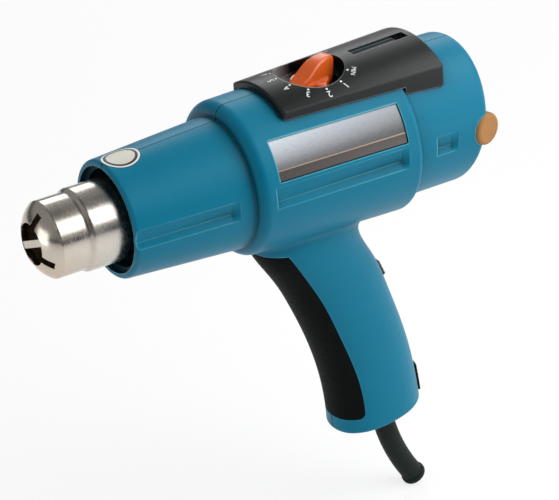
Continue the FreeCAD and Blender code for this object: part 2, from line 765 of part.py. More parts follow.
def name_plate():
    """The bare plate let into the left side."""
    floor = PLATE_RECESS - PLATE_SEAT
    return plate_layer(PLATE_GAP, floor, floor - PLATE_T)


# -------------------------------------------------------- outside the shell
def control_panel():
    """The crowned black cover with the dial's well."""
    outer = panel_crown().common(panel_prism())
    outer = outer.makeFillet(PANEL_EDGE_R, edges_above(outer, DIAL_FLOOR_Z - PANEL_T))
    seat = body_form(-FIT_GAP).fuse(rear_form(-FIT_GAP))
    shell = outer.cut(seat).cut(panel_crown(PANEL_T).common(panel_prism(PANEL_T)))
    well = dial_cylinder(DIAL_WELL_R + DIAL_WELL_T, (DIAL_FLOOR_Z - DIAL_WELL_T, REACH))
    pieces = [well.common(panel_crown(PANEL_T / 2))] + [lug(x) for x in PANEL_LUG_X]
    shell = shell.multiFuse(pieces)
    shell = shell.cut(dial_cylinder(DIAL_WELL_R, (DIAL_FLOOR_Z, REACH)))
    shell = shell.cut(dial_cylinder(POT_SHAFT_R + SLIDE_GAP, (0, REACH)))
    y = PANEL_SLOT_HALF_WIDTH
    slot = box(PANEL_SLOT_X, (-y, y), (DIAL_FLOOR_Z, REACH)).cut(panel_crown(PANEL_SLOT_DEPTH))
    clip_x = (PANEL_SLOT_X[1] - PANEL_CLIP_LENGTH, PANEL_SLOT_X[1])
    clip = box(clip_x, (-y, y), (BODY_RISE + PANEL_FRONT_R - PANEL_T, REACH))
    return shell.cut(slot).cut(clip)


def dial_fin():
    """The dial's leaf-shaped fin, wider at its foot and rounded at both ends."""
    low = DIAL_FLOOR_Z + SLIDE_GAP
    sections = []
    foot = low + DIAL_CREST[0][1]
    for half_t, z in ((DIAL_FIN_FOOT_HALF_T, foot), (DIAL_FIN_TOP_HALF_T, low + DIAL_FIN_HEIGHT)):
        leaf = Part.Ellipse(V(DIAL_FIN_CENTRE, 0, z), DIAL_FIN_HALF_LENGTH, half_t)
        sections.append(Part.Wire(leaf.toShape()))
    body = Part.makeLoft(sections, True, True)
    points = [V(along, 0, low + height) for along, height in DIAL_CREST]
    crest = Part.BSplineCurve()
    crest.interpolate(points)
    side = Part.Face(Part.Wire([crest.toShape(), Part.makeLine(points[-1], points[0])]))
    side = side.translated(V(0, -DIAL_R, 0)).extrude(V(0, 2 * DIAL_R, 0))
    fin = body.common(side)
    fin = fin.makeFillet(DIAL_CREST_R, fin.Edges)
    return fin.cut(box((-REACH, REACH), (-REACH, REACH), (DIAL_FLOOR_Z - REACH, low)))


def temp_dial():
    """The translucent knob: a small round base, a tall fin and a rounded pointer."""
    low = DIAL_FLOOR_Z + SLIDE_GAP
    base = Part.makeCylinder(DIAL_R, DIAL_BASE_T, V(0, 0, low))
    base = base.makeFillet(DIAL_EDGE_R, edges_above(base, low + DIAL_BASE_T / 2))
    pointer = Part.makeCylinder(POINTER_R, POINTER_HEIGHT, V(POINTER_REACH, 0, low))
    pointer = pointer.makeFillet(POINTER_TOP_R, edges_above(pointer, low + POINTER_HEIGHT / 2))
    turn = DIAL_POINTER_ANGLE - DIAL_FIN_ANGLE
    knob = fuse([base, dial_fin(), placed(pointer, (0, 0, 0), V(0, 0, 1), turn)])
    socket = Part.makeCylinder(POT_SHAFT_R + SHAFT_CLEARANCE, DIAL_SOCKET_DEPTH + OVERCUT,
                               V(0, 0, low - OVERCUT))
    return placed(knob.cut(socket), (DIAL_X, 0, 0), V(0, 0, 1), DIAL_FIN_ANGLE)


def grip_pad():
    """The soft pad let into the handle's front."""
    return handle_layer(GRIP_T).common(grip_outline())


def heel_pad():
    """The rest pad let into the handle's back."""
    return handle_layer(HEEL_DEPTH, HEEL_PROUD).common(heel_box())


def foot(side):
    """One rubber rear foot with its peg."""
    button = foot_button(side)
    face, out = foot_axis(side)
    rims = [e for e in button.Edges if e.isClosed() and e.CenterOfMass.sub(face).Length < TOUCH]
    return button.makeFillet(FOOT_EDGE_R, rims).fuse(foot_peg(side)).removeSplitter()


def rear_grille():
    """The intake grille in the leaning end face: ring slots between spokes."""
    disc = rod(GRILLE_R, (-GRILLE_SEAT, GRILLE_T - GRILLE_SEAT))
    disc = disc.makeFillet(GRILLE_EDGE_R, [e for e in disc.Edges if e.BoundBox.XMin > 0])
    slots = []
    for radius in GRILLE_RINGS:
        ring = rod(radius + GRILLE_SLOT / 2, (-WALL, WALL))
        slots.append(ring.cut(rod(radius - GRILLE_SLOT / 2, (-WALL, WALL))))
    slots = Part.makeCompound(slots)
    for spoke in range(GRILLE_SPOKES):
        bar = box((-WALL, WALL), (-GRILLE_SPOKE_T / 2, GRILLE_SPOKE_T / 2), (0, GRILLE_R))
        bar.rotate(V(0, 0, 0), V(1, 0, 0), spoke * 360 / GRILLE_SPOKES)
        slots = slots.cut(bar)
    return on_end_face(disc.cut(slots))


# -------------------------------------------------------------------- nozzle
def nozzle_profile(wall):
    """Edges of the nozzle's outline a wall's depth inside its outer face."""
    seat_x = -NOZZLE_SEAT_LENGTH
    tip = V(seat_x - NOZZLE_DOME_LENGTH + wall, 0, MOUTH_R)
    ridge = V(seat_x, 0, NOZZLE_R - wall)
    shoulder = V(0, 0, NOZZLE_R - wall)
    neck = V(NECK_STEP_LENGTH, 0, NECK_R - wall)
    end = V(NECK_LENGTH, 0, NECK_R - wall)
    middle = (tip + ridge) / 2 + V(-DOME_BULGE, 0, DOME_BULGE)
    step = Part.BezierCurve()
    step.setPoles([shoulder, shoulder + V(NECK_STEP_LENGTH / 2, 0, 0),
                   neck - V(NECK_STEP_LENGTH / 2, 0, 0), neck])
    edges = [Part.Arc(tip, middle, ridge).toShape(), Part.makeLine(ridge, shoulder),
             step.toShape(), Part.makeLine(neck, end)]
    return edges, tip, end


def nozzle_form(wall):
    """The solid that the nozzle's outline sweeps, down to its axis."""
    edges, tip, end = nozzle_profile(wall)
    foot, head = V(end.x, 0, 0), V(tip.x, 0, 0)
    edges += [Part.makeLine(end, foot), Part.makeLine(foot, head), Part.makeLine(head, tip)]
    face = Part.Face(Part.Wire(edges))
    return face.revolve(V(0, 0, 0), V(1, 0, 0), 360)


def nozzle_tube():
    """Spun steel tube: domed mouth with slots and a cross bar, seat, shoulder, neck."""
    seat_x = -NOZZLE_SEAT_LENGTH
    tip_x = seat_x - NOZZLE_DOME_LENGTH
    outer = rounded(nozzle_form(0.0), RIDGE_R, seat_x)
    tube = outer.cut(nozzle_form(NOZZLE_WALL))
    tube = tube.cut(rod(MOUTH_R, (tip_x - OVERCUT, seat_x)))
    tube = tube.cut(rod(NECK_R - NOZZLE_WALL, (NECK_LENGTH - OVERCUT, NECK_LENGTH + OVERCUT)))
    slot_x = (tip_x - OVERCUT, seat_x - SLOT_MARGIN)
    for turn in (SLOT_OFFSET, -SLOT_OFFSET, 180 + SLOT_OFFSET, 180 - SLOT_OFFSET):
        slot = box(slot_x, (0, SLOT_REACH), (-SLOT_WIDTH / 2, SLOT_WIDTH / 2))
        slot.rotate(V(0, 0, 0), V(1, 0, 0), BAR_ANGLE + turn)
        tube = tube.cut(slot)
    reach = MOUTH_R + NOZZLE_WALL
    bar = box((tip_x + BAR_SET_BACK, tip_x + BAR_SET_BACK + NOZZLE_WALL), (-reach, reach),
              (-BAR_WIDTH / 2, BAR_WIDTH / 2))
    bar.rotate(V(0, 0, 0), V(1, 0, 0), BAR_ANGLE)
    return fuse([tube, bar.common(outer)])


def ring_blank(gap):
    """The insulating disc's outline, flat where the tube's grooves come in."""
    deepest = tube_radius(RING_X[0]) - TUBE_GROOVE[-1]
    flat = deepest - GROOVE_WALL - FIT_GAP + gap
    return rod(RING_R + gap, RING_X).common(box(RING_X, (-flat, flat), (-REACH, REACH)))


def mounting_ring():
    """Insulating disc that holds the neck inside the tube."""
    return ring_blank(0.0).cut(rod(NECK_R + FIT_GAP, ALONG))


def mica_sleeve():
    """Thin insulating lining of the neck."""
    return rod(SLEEVE_R, SLEEVE_X).cut(rod(SLEEVE_R - SLEEVE_T, ALONG))


def heater_core():
    """Two crossed mica plates that carry the winding."""
    flat = box(CORE_X, (-CORE_R, CORE_R), (-CORE_T / 2, CORE_T / 2))
    upright = box(CORE_X, (-CORE_T / 2, CORE_T / 2), (-CORE_R, CORE_R))
    return fuse([flat, upright])


def heating_coils():
    """The winding's turns round the core."""
    turns = []
    pitch = (CORE_X[1] - CORE_X[0] - 2 * COIL_MARGIN - COIL_WIRE) / (COIL_TURNS - 1)
    for turn in range(COIL_TURNS):
        start = CORE_X[0] + COIL_MARGIN + turn * pitch
        ring = rod(COIL_R + COIL_WIRE, (start, start + COIL_WIRE))
        turns.append(ring.cut(rod(COIL_R, ALONG)))
    return Part.makeCompound(turns)


def heater_end_disc():
    """Ceramic disc behind the core with its air holes."""
    x = (CORE_X[1], CORE_X[1] + END_DISC_T)
    disc = rod(SLEEVE_R - SLEEVE_T - FIT_GAP, x)
    for hole in range(END_DISC_HOLES):
        cutter = rod(END_DISC_HOLE_R, ALONG, END_DISC_HOLE_CIRCLE_R)
        cutter.rotate(V(0, 0, 0), V(1, 0, 0), (hole + 0.5) * 360 / END_DISC_HOLES)
        disc = disc.cut(cutter)
    return disc


def thermal_cutout():
    """Small can behind the end disc that opens if the heater overheats."""
    start = CORE_X[1] + END_DISC_T + FIT_GAP
    return rod(CUTOUT_R, (start, start + CUTOUT_LENGTH))


def air_duct():
    """Funnel that leads the fan's air into the neck."""
    neck = NECK_R + FIT_GAP
    shoulder = NECK_LENGTH + FIT_GAP
    stop, flare = neck - DUCT_STOP, shoulder + DUCT_STOP_LENGTH
    outline = [(DUCT_X[0], neck), (shoulder, neck), (shoulder, stop), (flare, stop),
               (DUCT_X[1], DUCT_REAR_R - DUCT_T), (DUCT_X[1], DUCT_REAR_R),
               (flare, neck + DUCT_T), (DUCT_X[0], neck + DUCT_T)]
    return revolve(outline)


# ----------------------------------------------------- motor, fan and boards
def motor_can():
    """Drawn steel can with its rear bearing boss."""
    can = rod(MOTOR_R, MOTOR_X, BODY_RISE)
    hollow = (ALONG[0], MOTOR_X[1] - MOTOR_CAN_T)
    can = can.cut(rod(MOTOR_R - MOTOR_CAN_T, hollow, BODY_RISE))
    boss = rod(MOTOR_BOSS_R, (MOTOR_X[1], MOTOR_X[1] + MOTOR_BOSS_T), BODY_RISE)
    can = can.fuse(boss).removeSplitter()
    return can.cut(rod(SHAFT_R + SHAFT_CLEARANCE, ALONG, BODY_RISE))


def motor_endcap():
    """Moulded cap that closes the can's front and holds the front bearing."""
    x = (MOTOR_X[0] - MOTOR_CAP_T, MOTOR_X[0])
    cap = rod(MOTOR_R, x, BODY_RISE)
    spigot = (x[1], x[1] + MOTOR_CAP_SPIGOT)
    cap = cap.fuse(rod(MOTOR_R - MOTOR_CAN_T - FIT_GAP, spigot, BODY_RISE)).removeSplitter()
    for y in (-MOTOR_TAG_Y, MOTOR_TAG_Y):
        z = (BODY_RISE - MOTOR_TAG_T / 2, BODY_RISE + MOTOR_TAG_T / 2)
        tag = box((x[0] - MOTOR_TAG_LENGTH, x[0]), (y - MOTOR_TAG_WIDTH / 2, y + MOTOR_TAG_WIDTH / 2), z)
        cap = cap.fuse(tag)
    return cap.cut(rod(SHAFT_R + SHAFT_CLEARANCE, (SHAFT_X[0] - SLIDE_GAP, ALONG[1]), BODY_RISE))


def motor_shaft():
    """Shaft that carries the armature and the fan."""
    return rod(SHAFT_R, SHAFT_X, BODY_RISE)


def armature():
    """Slotted stack and commutator on the shaft."""
    stack = rod(ARMATURE_R, ARMATURE_X, BODY_RISE)
    half = ARMATURE_SLOT / 2
    for slot in range(ARMATURE_SLOTS):
        groove = box(ALONG, (-half, half), (ARMATURE_CORE_R, REACH))
        groove.rotate(V(0, 0, 0), V(1, 0, 0), slot * 360 / ARMATURE_SLOTS)
        stack = stack.cut(groove.translated(V(0, 0, BODY_RISE)))
    return stack.cut(rod(SHAFT_R, ALONG, BODY_RISE))


def fan_impeller():
    """Axial fan: hub and pitched blades."""
    hub = rod(FAN_HUB_R, FAN_X)
    middle = (FAN_X[0] + FAN_X[1]) / 2
    hub = hub.makeFillet(FAN_HUB_EDGE_R, [e for e in hub.Edges if e.BoundBox.XMin > middle])
    blades = []
    for blade in range(FAN_BLADES):
        plate = box((-FAN_R, FAN_R), (-FAN_BLADE_T / 2, FAN_BLADE_T / 2), (FAN_HUB_R - FAN_BLADE_T, REACH))
        plate.rotate(V(0, 0, 0), V(0, 0, 1), FAN_PITCH)
        plate.translate(V(middle, 0, 0))
        plate = plate.common(rod(FAN_R, (FAN_X[0] + FAN_BLADE_INSET, FAN_X[1] - FAN_BLADE_INSET)))
        plate.rotate(V(0, 0, 0), V(1, 0, 0), blade * 360 / FAN_BLADES)
        blades.append(plate)
    fan = fuse([hub] + blades).translated(V(0, 0, BODY_RISE))
    return fan.cut(rod(SHAFT_R, ALONG, BODY_RISE))


def motor_bracket():
    """Carrier that centres the motor in the body."""
    sleeve_x = (BRACKET_X[1] - BRACKET_HUB_LENGTH, BRACKET_X[1])
    hub = rod(MOTOR_R + FIT_GAP + BRACKET_T, sleeve_x)
    rim = rod(BRACKET_R, BRACKET_X).cut(rod(BRACKET_R - BRACKET_T, ALONG))
    arms = []
    for arm in range(BRACKET_ARMS):
        z = (MOTOR_R + FIT_GAP + BRACKET_T / 2, BRACKET_R - BRACKET_T / 2)
        bar = box(BRACKET_X, (-BRACKET_T / 2, BRACKET_T / 2), z)
        bar.rotate(V(0, 0, 0), V(1, 0, 0), (arm + 0.5) * 360 / BRACKET_ARMS)
        arms.append(bar)
    top = BRACKET_TOP_Z - BODY_RISE - FIT_GAP
    bar = box(BRACKET_X, (-BRACKET_R, BRACKET_R), (top - BRACKET_T, top)).common(rod(BRACKET_R, BRACKET_X))
    frame = fuse([hub, rim, bar] + arms).cut(rod(MOTOR_R + FIT_GAP, ALONG))
    frame = frame.cut(box(ALONG, (-REACH, REACH), (top, REACH)))
    return frame.translated(V(0, 0, BODY_RISE))


def circuit_board():
    """Speed and heat control board under the panel."""
    y = BOARD_HALF_WIDTH
    return box(BOARD_X, (-y, y), (BOARD_Z, BOARD_Z + BOARD_T))


def dial_pot():
    """Potentiometer on the board, bored for its shaft."""
    low = BOARD_Z + BOARD_T
    body = dial_cylinder(POT_R, (low, low + POT_T))
    return body.cut(dial_cylinder(POT_SHAFT_R + SHAFT_CLEARANCE, (low + POT_FLOOR_T, REACH)))


def pot_shaft():
    """Shaft from the potentiometer into the dial."""
    low = BOARD_Z + BOARD_T + POT_FLOOR_T + SLIDE_GAP
    high = DIAL_FLOOR_Z + SLIDE_GAP + DIAL_SOCKET_DEPTH - FIT_GAP
    return dial_cylinder(POT_SHAFT_R, (low, high))


def heat_sink():
    """Finned block that cools the triac."""
    low = BOARD_Z + BOARD_T
    sink = box(SINK_X, SINK_Y, (low, low + SINK_HEIGHT))
    pitch = (SINK_X[1] - SINK_X[0] - SINK_FIN_T) / SINK_SLOTS
    for slot in range(SINK_SLOTS):
        start = SINK_X[0] + SINK_FIN_T + slot * pitch
        x = (start, start + pitch - SINK_FIN_T)
        y = (SINK_Y[0] - OVERCUT, SINK_Y[1] - SINK_BACK_T)
        sink = sink.cut(box(x, y, (low + SINK_BASE_T, low + SINK_HEIGHT + OVERCUT)))
    return sink


def triac():
    """Power switch that stands flat against the heat sink."""
    low = BOARD_Z + BOARD_T
    y = SINK_Y[1] + FIT_GAP
    return box(TRIAC_X, (y, y + TRIAC_T), (low, low + TRIAC_HEIGHT))


def board_capacitor():
    """Smoothing capacitor on the board."""
    x, y = BOARD_CAPACITOR_PLACE
    return Part.makeCylinder(BOARD_CAPACITOR_R, BOARD_CAPACITOR_HEIGHT, V(x, y, BOARD_Z + BOARD_T))


# -------------------------------------------------------- inside the handle
def thumb_slider():
    """Sliding switch button: ribbed thumb piece, neck and covering apron."""
    off = -SWITCH_TRAVEL / 2
    half = THUMB_LENGTH / 2
    thumb = box((-APRON_DEPTH - FIT_GAP, THUMB_PROUD), (-THUMB_WIDTH / 2, THUMB_WIDTH / 2),
                (off - half, off + half))
    thumb = thumb.makeFillet(THUMB_EDGE_R, [e for e in thumb.Edges if e.BoundBox.XMin > THUMB_PROUD - 0.1])
    for groove in range(THUMB_GROOVES):
        middle = off + (groove - (THUMB_GROOVES - 1) / 2) * THUMB_GROOVE_PITCH
        z = (middle - THUMB_GROOVE_T / 2, middle + THUMB_GROOVE_T / 2)
        x = (THUMB_PROUD - THUMB_GROOVE_DEPTH, THUMB_PROUD + OVERCUT)
        thumb = thumb.cut(box(x, (-THUMB_WIDTH, THUMB_WIDTH), z))
    apron = box((-APRON_DEPTH - APRON_T, -APRON_DEPTH), (-APRON_WIDTH / 2, APRON_WIDTH / 2),
                (off - APRON_LENGTH / 2, off + APRON_LENGTH / 2))
    return switch_frame(fuse([thumb, apron]))


def switch_body():
    """The switch itself, behind its sliding button."""
    length, width, depth = SWITCH_BODY
    near = -APRON_DEPTH - APRON_T - SLIDE_GAP
    block = box((near - depth, near), (-width / 2, width / 2), (-length / 2, length / 2))
    tag_x = (near - depth - SWITCH_TAG_LENGTH, near - depth)
    for middle in (-SWITCH_TAG_PITCH, 0.0, SWITCH_TAG_PITCH):
        z = (middle - SWITCH_TAG_T / 2, middle + SWITCH_TAG_T / 2)
        block = block.fuse(box(tag_x, (-SWITCH_TAG_WIDTH / 2, SWITCH_TAG_WIDTH / 2), z))
    return switch_frame(block)


def terminal_block():
    """Screw terminals where the supply leads end."""
    block = box(TERMINAL_X, TERMINAL_Y, TERMINAL_Z)
    middle = (TERMINAL_Z[0] + TERMINAL_Z[1]) / 2
    for share in (0.25, 0.75):
        x = TERMINAL_X[0] + share * (TERMINAL_X[1] - TERMINAL_X[0])
        lead = Part.makeCylinder(LEAD_HOLE_R, middle - TERMINAL_Z[0], V(x, sum(TERMINAL_Y) / 2, middle))
        block = block.cut(lead.translated(V(0, 0, TERMINAL_Z[0] - middle)))
        block = block.cut(post(TERMINAL_SCREW_R, x, middle, (sum(TERMINAL_Y) / 2, OVERCUT)))
    return block


def suppressor():
    """Interference capacitor, a sealed box."""
    block = box(SUPPRESSOR_X, SUPPRESSOR_Y, SUPPRESSOR_Z)
    return block.makeFillet(SUPPRESSOR_EDGE_R, block.Edges)


def cord_sleeve():
    """Flexible sleeve that guards the cord where it leaves the handle."""
    bend, centre = sleeve_bend(CORD_SLEEVE_R)
    first, last = CORD_SLEEVE_ANGLES
    start = V(CORD_SLEEVE_START[0], 0, CORD_SLEEVE_START[1])
    way, out = sleeve_direction(first), sleeve_direction(last)
    turn = math.radians(last)
    end = centre - V(math.cos(turn), 0, math.sin(turn)) * CORD_SLEEVE_BEND_R
    tail = Part.makeCylinder(CORD_SLEEVE_R, CORD_SLEEVE_TAIL, end, out)
    collar_start = end + out * (CORD_SLEEVE_TAIL - CORD_COLLAR_T)
    collar = Part.makeCylinder(CORD_COLLAR_R, CORD_COLLAR_T, collar_start, out)
    collar = collar.makeFillet(CORD_COLLAR_EDGE_R, [e for e in collar.Edges if e.isClosed()])
    flange_start = start - way * (CORD_FLANGE_T / 2)
    flange = Part.makeCylinder(CORD_FLANGE_R, CORD_FLANGE_T, flange_start, way)
    sleeve = fuse([bend, tail, collar, flange])
    bore = [sleeve_bend(CORD_R)[0], Part.makeCylinder(CORD_R, CORD_SLEEVE_TAIL + OVERCUT, end, out),
            Part.makeCylinder(CORD_R, CORD_FLANGE_T, start - way * CORD_FLANGE_T, way)]
    for cutter in bore:
        sleeve = sleeve.cut(cutter)
    return sleeve


def cord_clamp():
    """Bar that grips the cord inside the handle."""
    y = (CLAMP_POST_Y + FIT_GAP, CLAMP_POST_Y + FIT_GAP + CLAMP_T)
    bar = box(CLAMP_X, y, CLAMP_Z)
    z = (CLAMP_Z[0] + CLAMP_Z[1]) / 2
    for x in CLAMP_POST_X:
        bar = bar.cut(post(CLAMP_SCREW_R + SCREW_GAP, x, z, (0, REACH)))
    return bar


# --------------------------------------------------------------------- screws
def screw(x, z, head_y, length, head_r, shank_r):
    """A pan-head screw driven towards -Y."""
    head = post(head_r, x, z, (head_y, head_y + SCREW_HEAD_T))
    head = head.makeFillet(SCREW_HEAD_EDGE_R, [e for e in head.Edges if e.BoundBox.YMin > head_y + 0.1])
    slot = SCREW_SLOT / 2
    arm = head_r * SCREW_CROSS_SHARE
    top = (head_y + SCREW_HEAD_T - SCREW_CROSS_DEPTH, head_y + SCREW_HEAD_T + OVERCUT)
    for cross in ((arm, slot), (slot, arm)):
        head = head.cut(box((x - cross[0], x + cross[0]), top, (z - cross[1], z + cross[1])))
    return head.fuse(post(shank_r, x, z, (head_y - length, head_y))).removeSplitter()


def housing_screws():
    """The screws that join the halves, all driven from the right."""
    length, shank = SCREW_LENGTH, SCREW_SHANK_R
    return Part.makeCompound([screw(x, z, SCREW_SEAT_Y, length, SCREW_HEAD_R, shank) for x, z in POSTS])


def clamp_screws():
    """The two screws of the cord clamp."""
    z = (CLAMP_Z[0] + CLAMP_Z[1]) / 2
    head_y = CLAMP_POST_Y + FIT_GAP + CLAMP_T
    length = CLAMP_SCREW_LENGTH
    return Part.makeCompound([screw(x, z, head_y, length, CLAMP_SCREW_HEAD_R, CLAMP_SCREW_R)
                              for x in CLAMP_POST_X])


# --------------------------------------------------------------------- build
def main():
    """Build and write every node."""
    left, right = housing_halves()
    nodes = {
        "housing_left": left,
        "housing_right": right,
        "control_panel": control_panel(),
        "temp_dial": temp_dial(),
        "name_plate": name_plate(),
        "grip_pad": grip_pad(),
        "heel_pad": heel_pad(),
        "foot_left": foot(-1),
        "foot_right": foot(1),
        "rear_grille": rear_grille(),
        "nozzle_tube": nozzle_tube(),
        "mounting_ring": mounting_ring(),
        "mica_sleeve": mica_sleeve(),
        "heater_core": heater_core(),
        "heating_coils": heating_coils(),
        "heater_end_disc": heater_end_disc(),
        "thermal_cutout": thermal_cutout(),
        "air_duct": air_duct(),
        "motor_can": motor_can(),
        "motor_endcap": motor_endcap(),
        "motor_shaft": motor_shaft(),
        "armature": armature(),
        "fan_impeller": fan_impeller(),
        "motor_bracket": motor_bracket(),
        "circuit_board": circuit_board(),
        "dial_pot": dial_pot(),
        "pot_shaft": pot_shaft(),
        "heat_sink": heat_sink(),
        "triac": triac(),
        "board_capacitor": board_capacitor(),
        "thumb_slider": thumb_slider(),
        "switch_body": switch_body(),
        "terminal_block": terminal_block(),
        "suppressor": suppressor(),
        "cord_sleeve": cord_sleeve(),
        "cord_clamp": cord_clamp(),
        "housing_screws": housing_screws(),
        "clamp_screws": clamp_screws(),
    }
    for name, shape in nodes.items():
        if not shape.isValid() or not shape.Solids:
            print("check", name, shape.isValid(), len(shape.Solids))
        export(name, shape)
    print(len(nodes), "nodes")


main()
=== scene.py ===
"""Looks, light and camera for the heat gun.

Everything is in metres in the model's own frame: the barrel along X, the nozzle
to -X, +Z up and the plate on the -Y side.
"""
import json
import math

import bmesh
import bpy
from mathutils import Matrix, Vector


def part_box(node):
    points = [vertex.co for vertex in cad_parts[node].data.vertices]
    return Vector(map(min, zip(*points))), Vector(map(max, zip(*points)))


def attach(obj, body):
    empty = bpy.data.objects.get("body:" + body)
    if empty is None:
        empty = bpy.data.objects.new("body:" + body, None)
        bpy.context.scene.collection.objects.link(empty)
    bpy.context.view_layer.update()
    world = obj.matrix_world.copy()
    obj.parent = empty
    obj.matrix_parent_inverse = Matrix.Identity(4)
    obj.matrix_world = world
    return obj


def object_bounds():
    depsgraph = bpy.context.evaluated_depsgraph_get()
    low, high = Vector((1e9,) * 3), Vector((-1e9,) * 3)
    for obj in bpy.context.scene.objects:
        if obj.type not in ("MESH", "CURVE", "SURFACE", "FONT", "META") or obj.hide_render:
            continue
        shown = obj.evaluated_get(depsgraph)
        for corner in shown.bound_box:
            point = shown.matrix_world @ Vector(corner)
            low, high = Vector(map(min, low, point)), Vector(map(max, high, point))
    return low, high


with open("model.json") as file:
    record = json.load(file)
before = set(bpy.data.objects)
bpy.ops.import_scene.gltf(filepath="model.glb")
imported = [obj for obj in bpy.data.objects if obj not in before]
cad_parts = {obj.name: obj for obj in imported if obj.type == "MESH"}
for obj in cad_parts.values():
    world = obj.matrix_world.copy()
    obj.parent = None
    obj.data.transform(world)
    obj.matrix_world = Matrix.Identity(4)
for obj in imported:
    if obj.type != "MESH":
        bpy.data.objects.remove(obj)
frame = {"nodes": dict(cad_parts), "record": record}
nodes = frame["nodes"]
cad_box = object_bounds()

MM = 0.001

# Camera, fitted to the object's outline
CAMERA_AZIMUTH = -31.19
CAMERA_ELEVATION = 27.70
CAMERA_ROLL = -3.29
CAMERA_DISTANCE = 1.1
CAMERA_TARGET = Vector((0.1015, 0.0, -0.0419))
CAMERA_LENS = 159.4
SENSOR = 36.0

# The barrel runs along X through the origin; the tube's outside tapers
TUBE_MOUTH_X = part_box("housing_left")[0].x
TUBE_MOUTH_R = 26.2 * MM
TUBE_ROOT_X = 73.5 * MM
TUBE_ROOT_R = 29.9 * MM
TUBE_SLOPE = (TUBE_ROOT_R - TUBE_MOUTH_R) / (TUBE_ROOT_X - TUBE_MOUTH_X)
PRINT_LIFT = 0.05 * MM

# The dial's scale, printed on the panel round the well
DIAL_X = 121.5 * MM
WELL_R = 15.4 * MM
SCALE_MARKS = ["MIN", "1", "2", "3", "4", "5", "6", "7", "8", "9", "MAX"]
SCALE_FIRST = -41.0
SCALE_STEP = -27.8
SCALE_DOT_RING = 16.9 * MM
SCALE_DOT_R = 0.5 * MM
SCALE_DOT_CORNERS = 16
SCALE_TEXT_RING = 19.4 * MM
SCALE_TEXT_HEIGHT = 3.0 * MM
SCALE_WORD_SHARE = 0.72
FONT_CAP_SHARE = 0.72

# The tongue that closes the parting gap, set back from the shell's faces
SEAM_GAP = 0.3 * MM
TONGUE_SET_BACK = 0.5 * MM
TONGUE_SHARE = 0.9
PARTING_FACING = 0.99
PARTING_SLACK = 0.05 * MM
MERGE_DISTANCE = 0.001 * MM

# The floor of the long slot behind the dial, as far as its deeper end, painted lighter against
# its shade
PANEL_SLOT_X = (143.2 * MM, 166.2 * MM)
PANEL_SLOT_HALF_WIDTH = 3.0 * MM

# The bare round sticker on the tube
STICKER_X = 26.5 * MM
STICKER_BANDS = [(0.0, 6.2 * MM), (6.2 * MM, 7.4 * MM), (7.4 * MM, 8.3 * MM)]
STICKER_STEPS = 48
STICKER_RINGS = 6

# The shell's inside, darkened as painted shade, shows this far below the tube's outside, up to
# the tube's root
SHELL_INSIDE_DEPTH = (2.3 * MM, 3.4 * MM)

# Half widths from the parting plane: the dark line, and where the painted edge highlights come
# back
SEAM_LINE = (0.12 * MM, 0.3 * MM)
SEAM_CLEAR = (0.5 * MM, 1.0 * MM)

# Painted edge highlights fade out below this height, where the handle starts
GRIP_FADE_Z = (-42 * MM, -36 * MM)

# Cosine between softened and true normals: a full edge, and an open face
EDGE_TURN = (0.86, 0.995)

# Share of open sky for the painted shade in hollows: a deep hollow, and an open face
HOLLOW_SKY = (0.45, 0.99)

# The usual range of a noise
NOISE_RANGE = (0.3, 0.7)

# Where the steel's straw tint fades out: along X as heat tint, and upward as a painted
# reflection of the floor
HEAT_X = (-18 * MM, 12 * MM)
UNDERSIDE_REFLECTION_Z = (-16 * MM, 2 * MM)

# The plate's dark lower band as a share of its height, and the line above it
PLATE_BAND_SHARE = 0.26
PLATE_LINE = 0.45 * MM

# The floor's half width in metres, and its glow as seen directly and in mirrors
FLOOR_HALF = 4.0
FLOOR_SEEN = 0.75
FLOOR_MIRRORED = 0.35

# The world's light: each step's start and end, then its level before and after
HORIZON_STEP = (0.06, 0.26, 0.10, 1.0)
CEILING_STEP = (0.84, 0.96, 1.0, 0.35)
DOORWAY_STEP = (0.90, 0.97, 1.0, 0.15)
MIRROR_STEP = (0.0, 1.0, 0.74, 0.38)

# Lamps: name, place, width and height, watts, and whether surfaces mirror it
LAMPS = [
    ("overhead", (0.15, -0.15, 1.1), (0.9, 0.7), 1.6, False),
    ("behind", (0.80, 0.98, 0.60), (0.9, 0.6), 4.4, True),
    ("beside", (0.95, -0.55, 0.25), (0.6, 0.5), 2.8, True),
    ("before", (0.60, -0.62, 0.72), (0.8, 0.7), 4.4, True),
    ("at_nozzle", (-0.90, 0.12, 0.04), (0.5, 0.4), 1.2, True),
    ("near_end", (0.33, -0.05, 0.26), (0.16, 0.16), 0.35, True),
    ("near_handle", (0.32, -0.30, 0.0), (0.15, 0.15), 0.18, True),
]


# ------------------------------------------------------------------ colours
def srgb(red, green, blue):
    """Linear colour from 8-bit sRGB values."""
    out = []
    for value in (red, green, blue):
        share = value / 255
        out.append(share / 12.92 if share <= 0.04045 else ((share + 0.055) / 1.055) ** 2.4)
    return (*out, 1.0)


TEAL = srgb(0, 110, 139)
# Painted highlight for the shell's sharp edges
TEAL_EDGE_HIGHLIGHT = srgb(112, 196, 212)
TEAL_SHINE = srgb(188, 236, 255)
# Painted shade for the shell's inside and the parting gap
INSIDE_SHADE = srgb(18, 78, 98)
BLACK = srgb(11, 15, 16)
RUBBER = srgb(6, 10, 9)
# Painted highlight for the panel's edges
PANEL_EDGE_HIGHLIGHT = srgb(132, 144, 150)
# Painted light for the slot's shaded floor
SLOT_FLOOR_PAINTED_LIGHT = srgb(36, 44, 47)
# Painted reflection on the left of the dial well
WELL_PAINTED_REFLECTION = srgb(150, 145, 145)
SLEEVE = srgb(30, 37, 35)
ORANGE = srgb(226, 102, 34)
TAN = srgb(156, 112, 70)
STEEL = srgb(206, 200, 192)
STRAW = srgb(206, 172, 122)
PRINT = srgb(236, 238, 238)
PLATE = srgb(176, 184, 190)
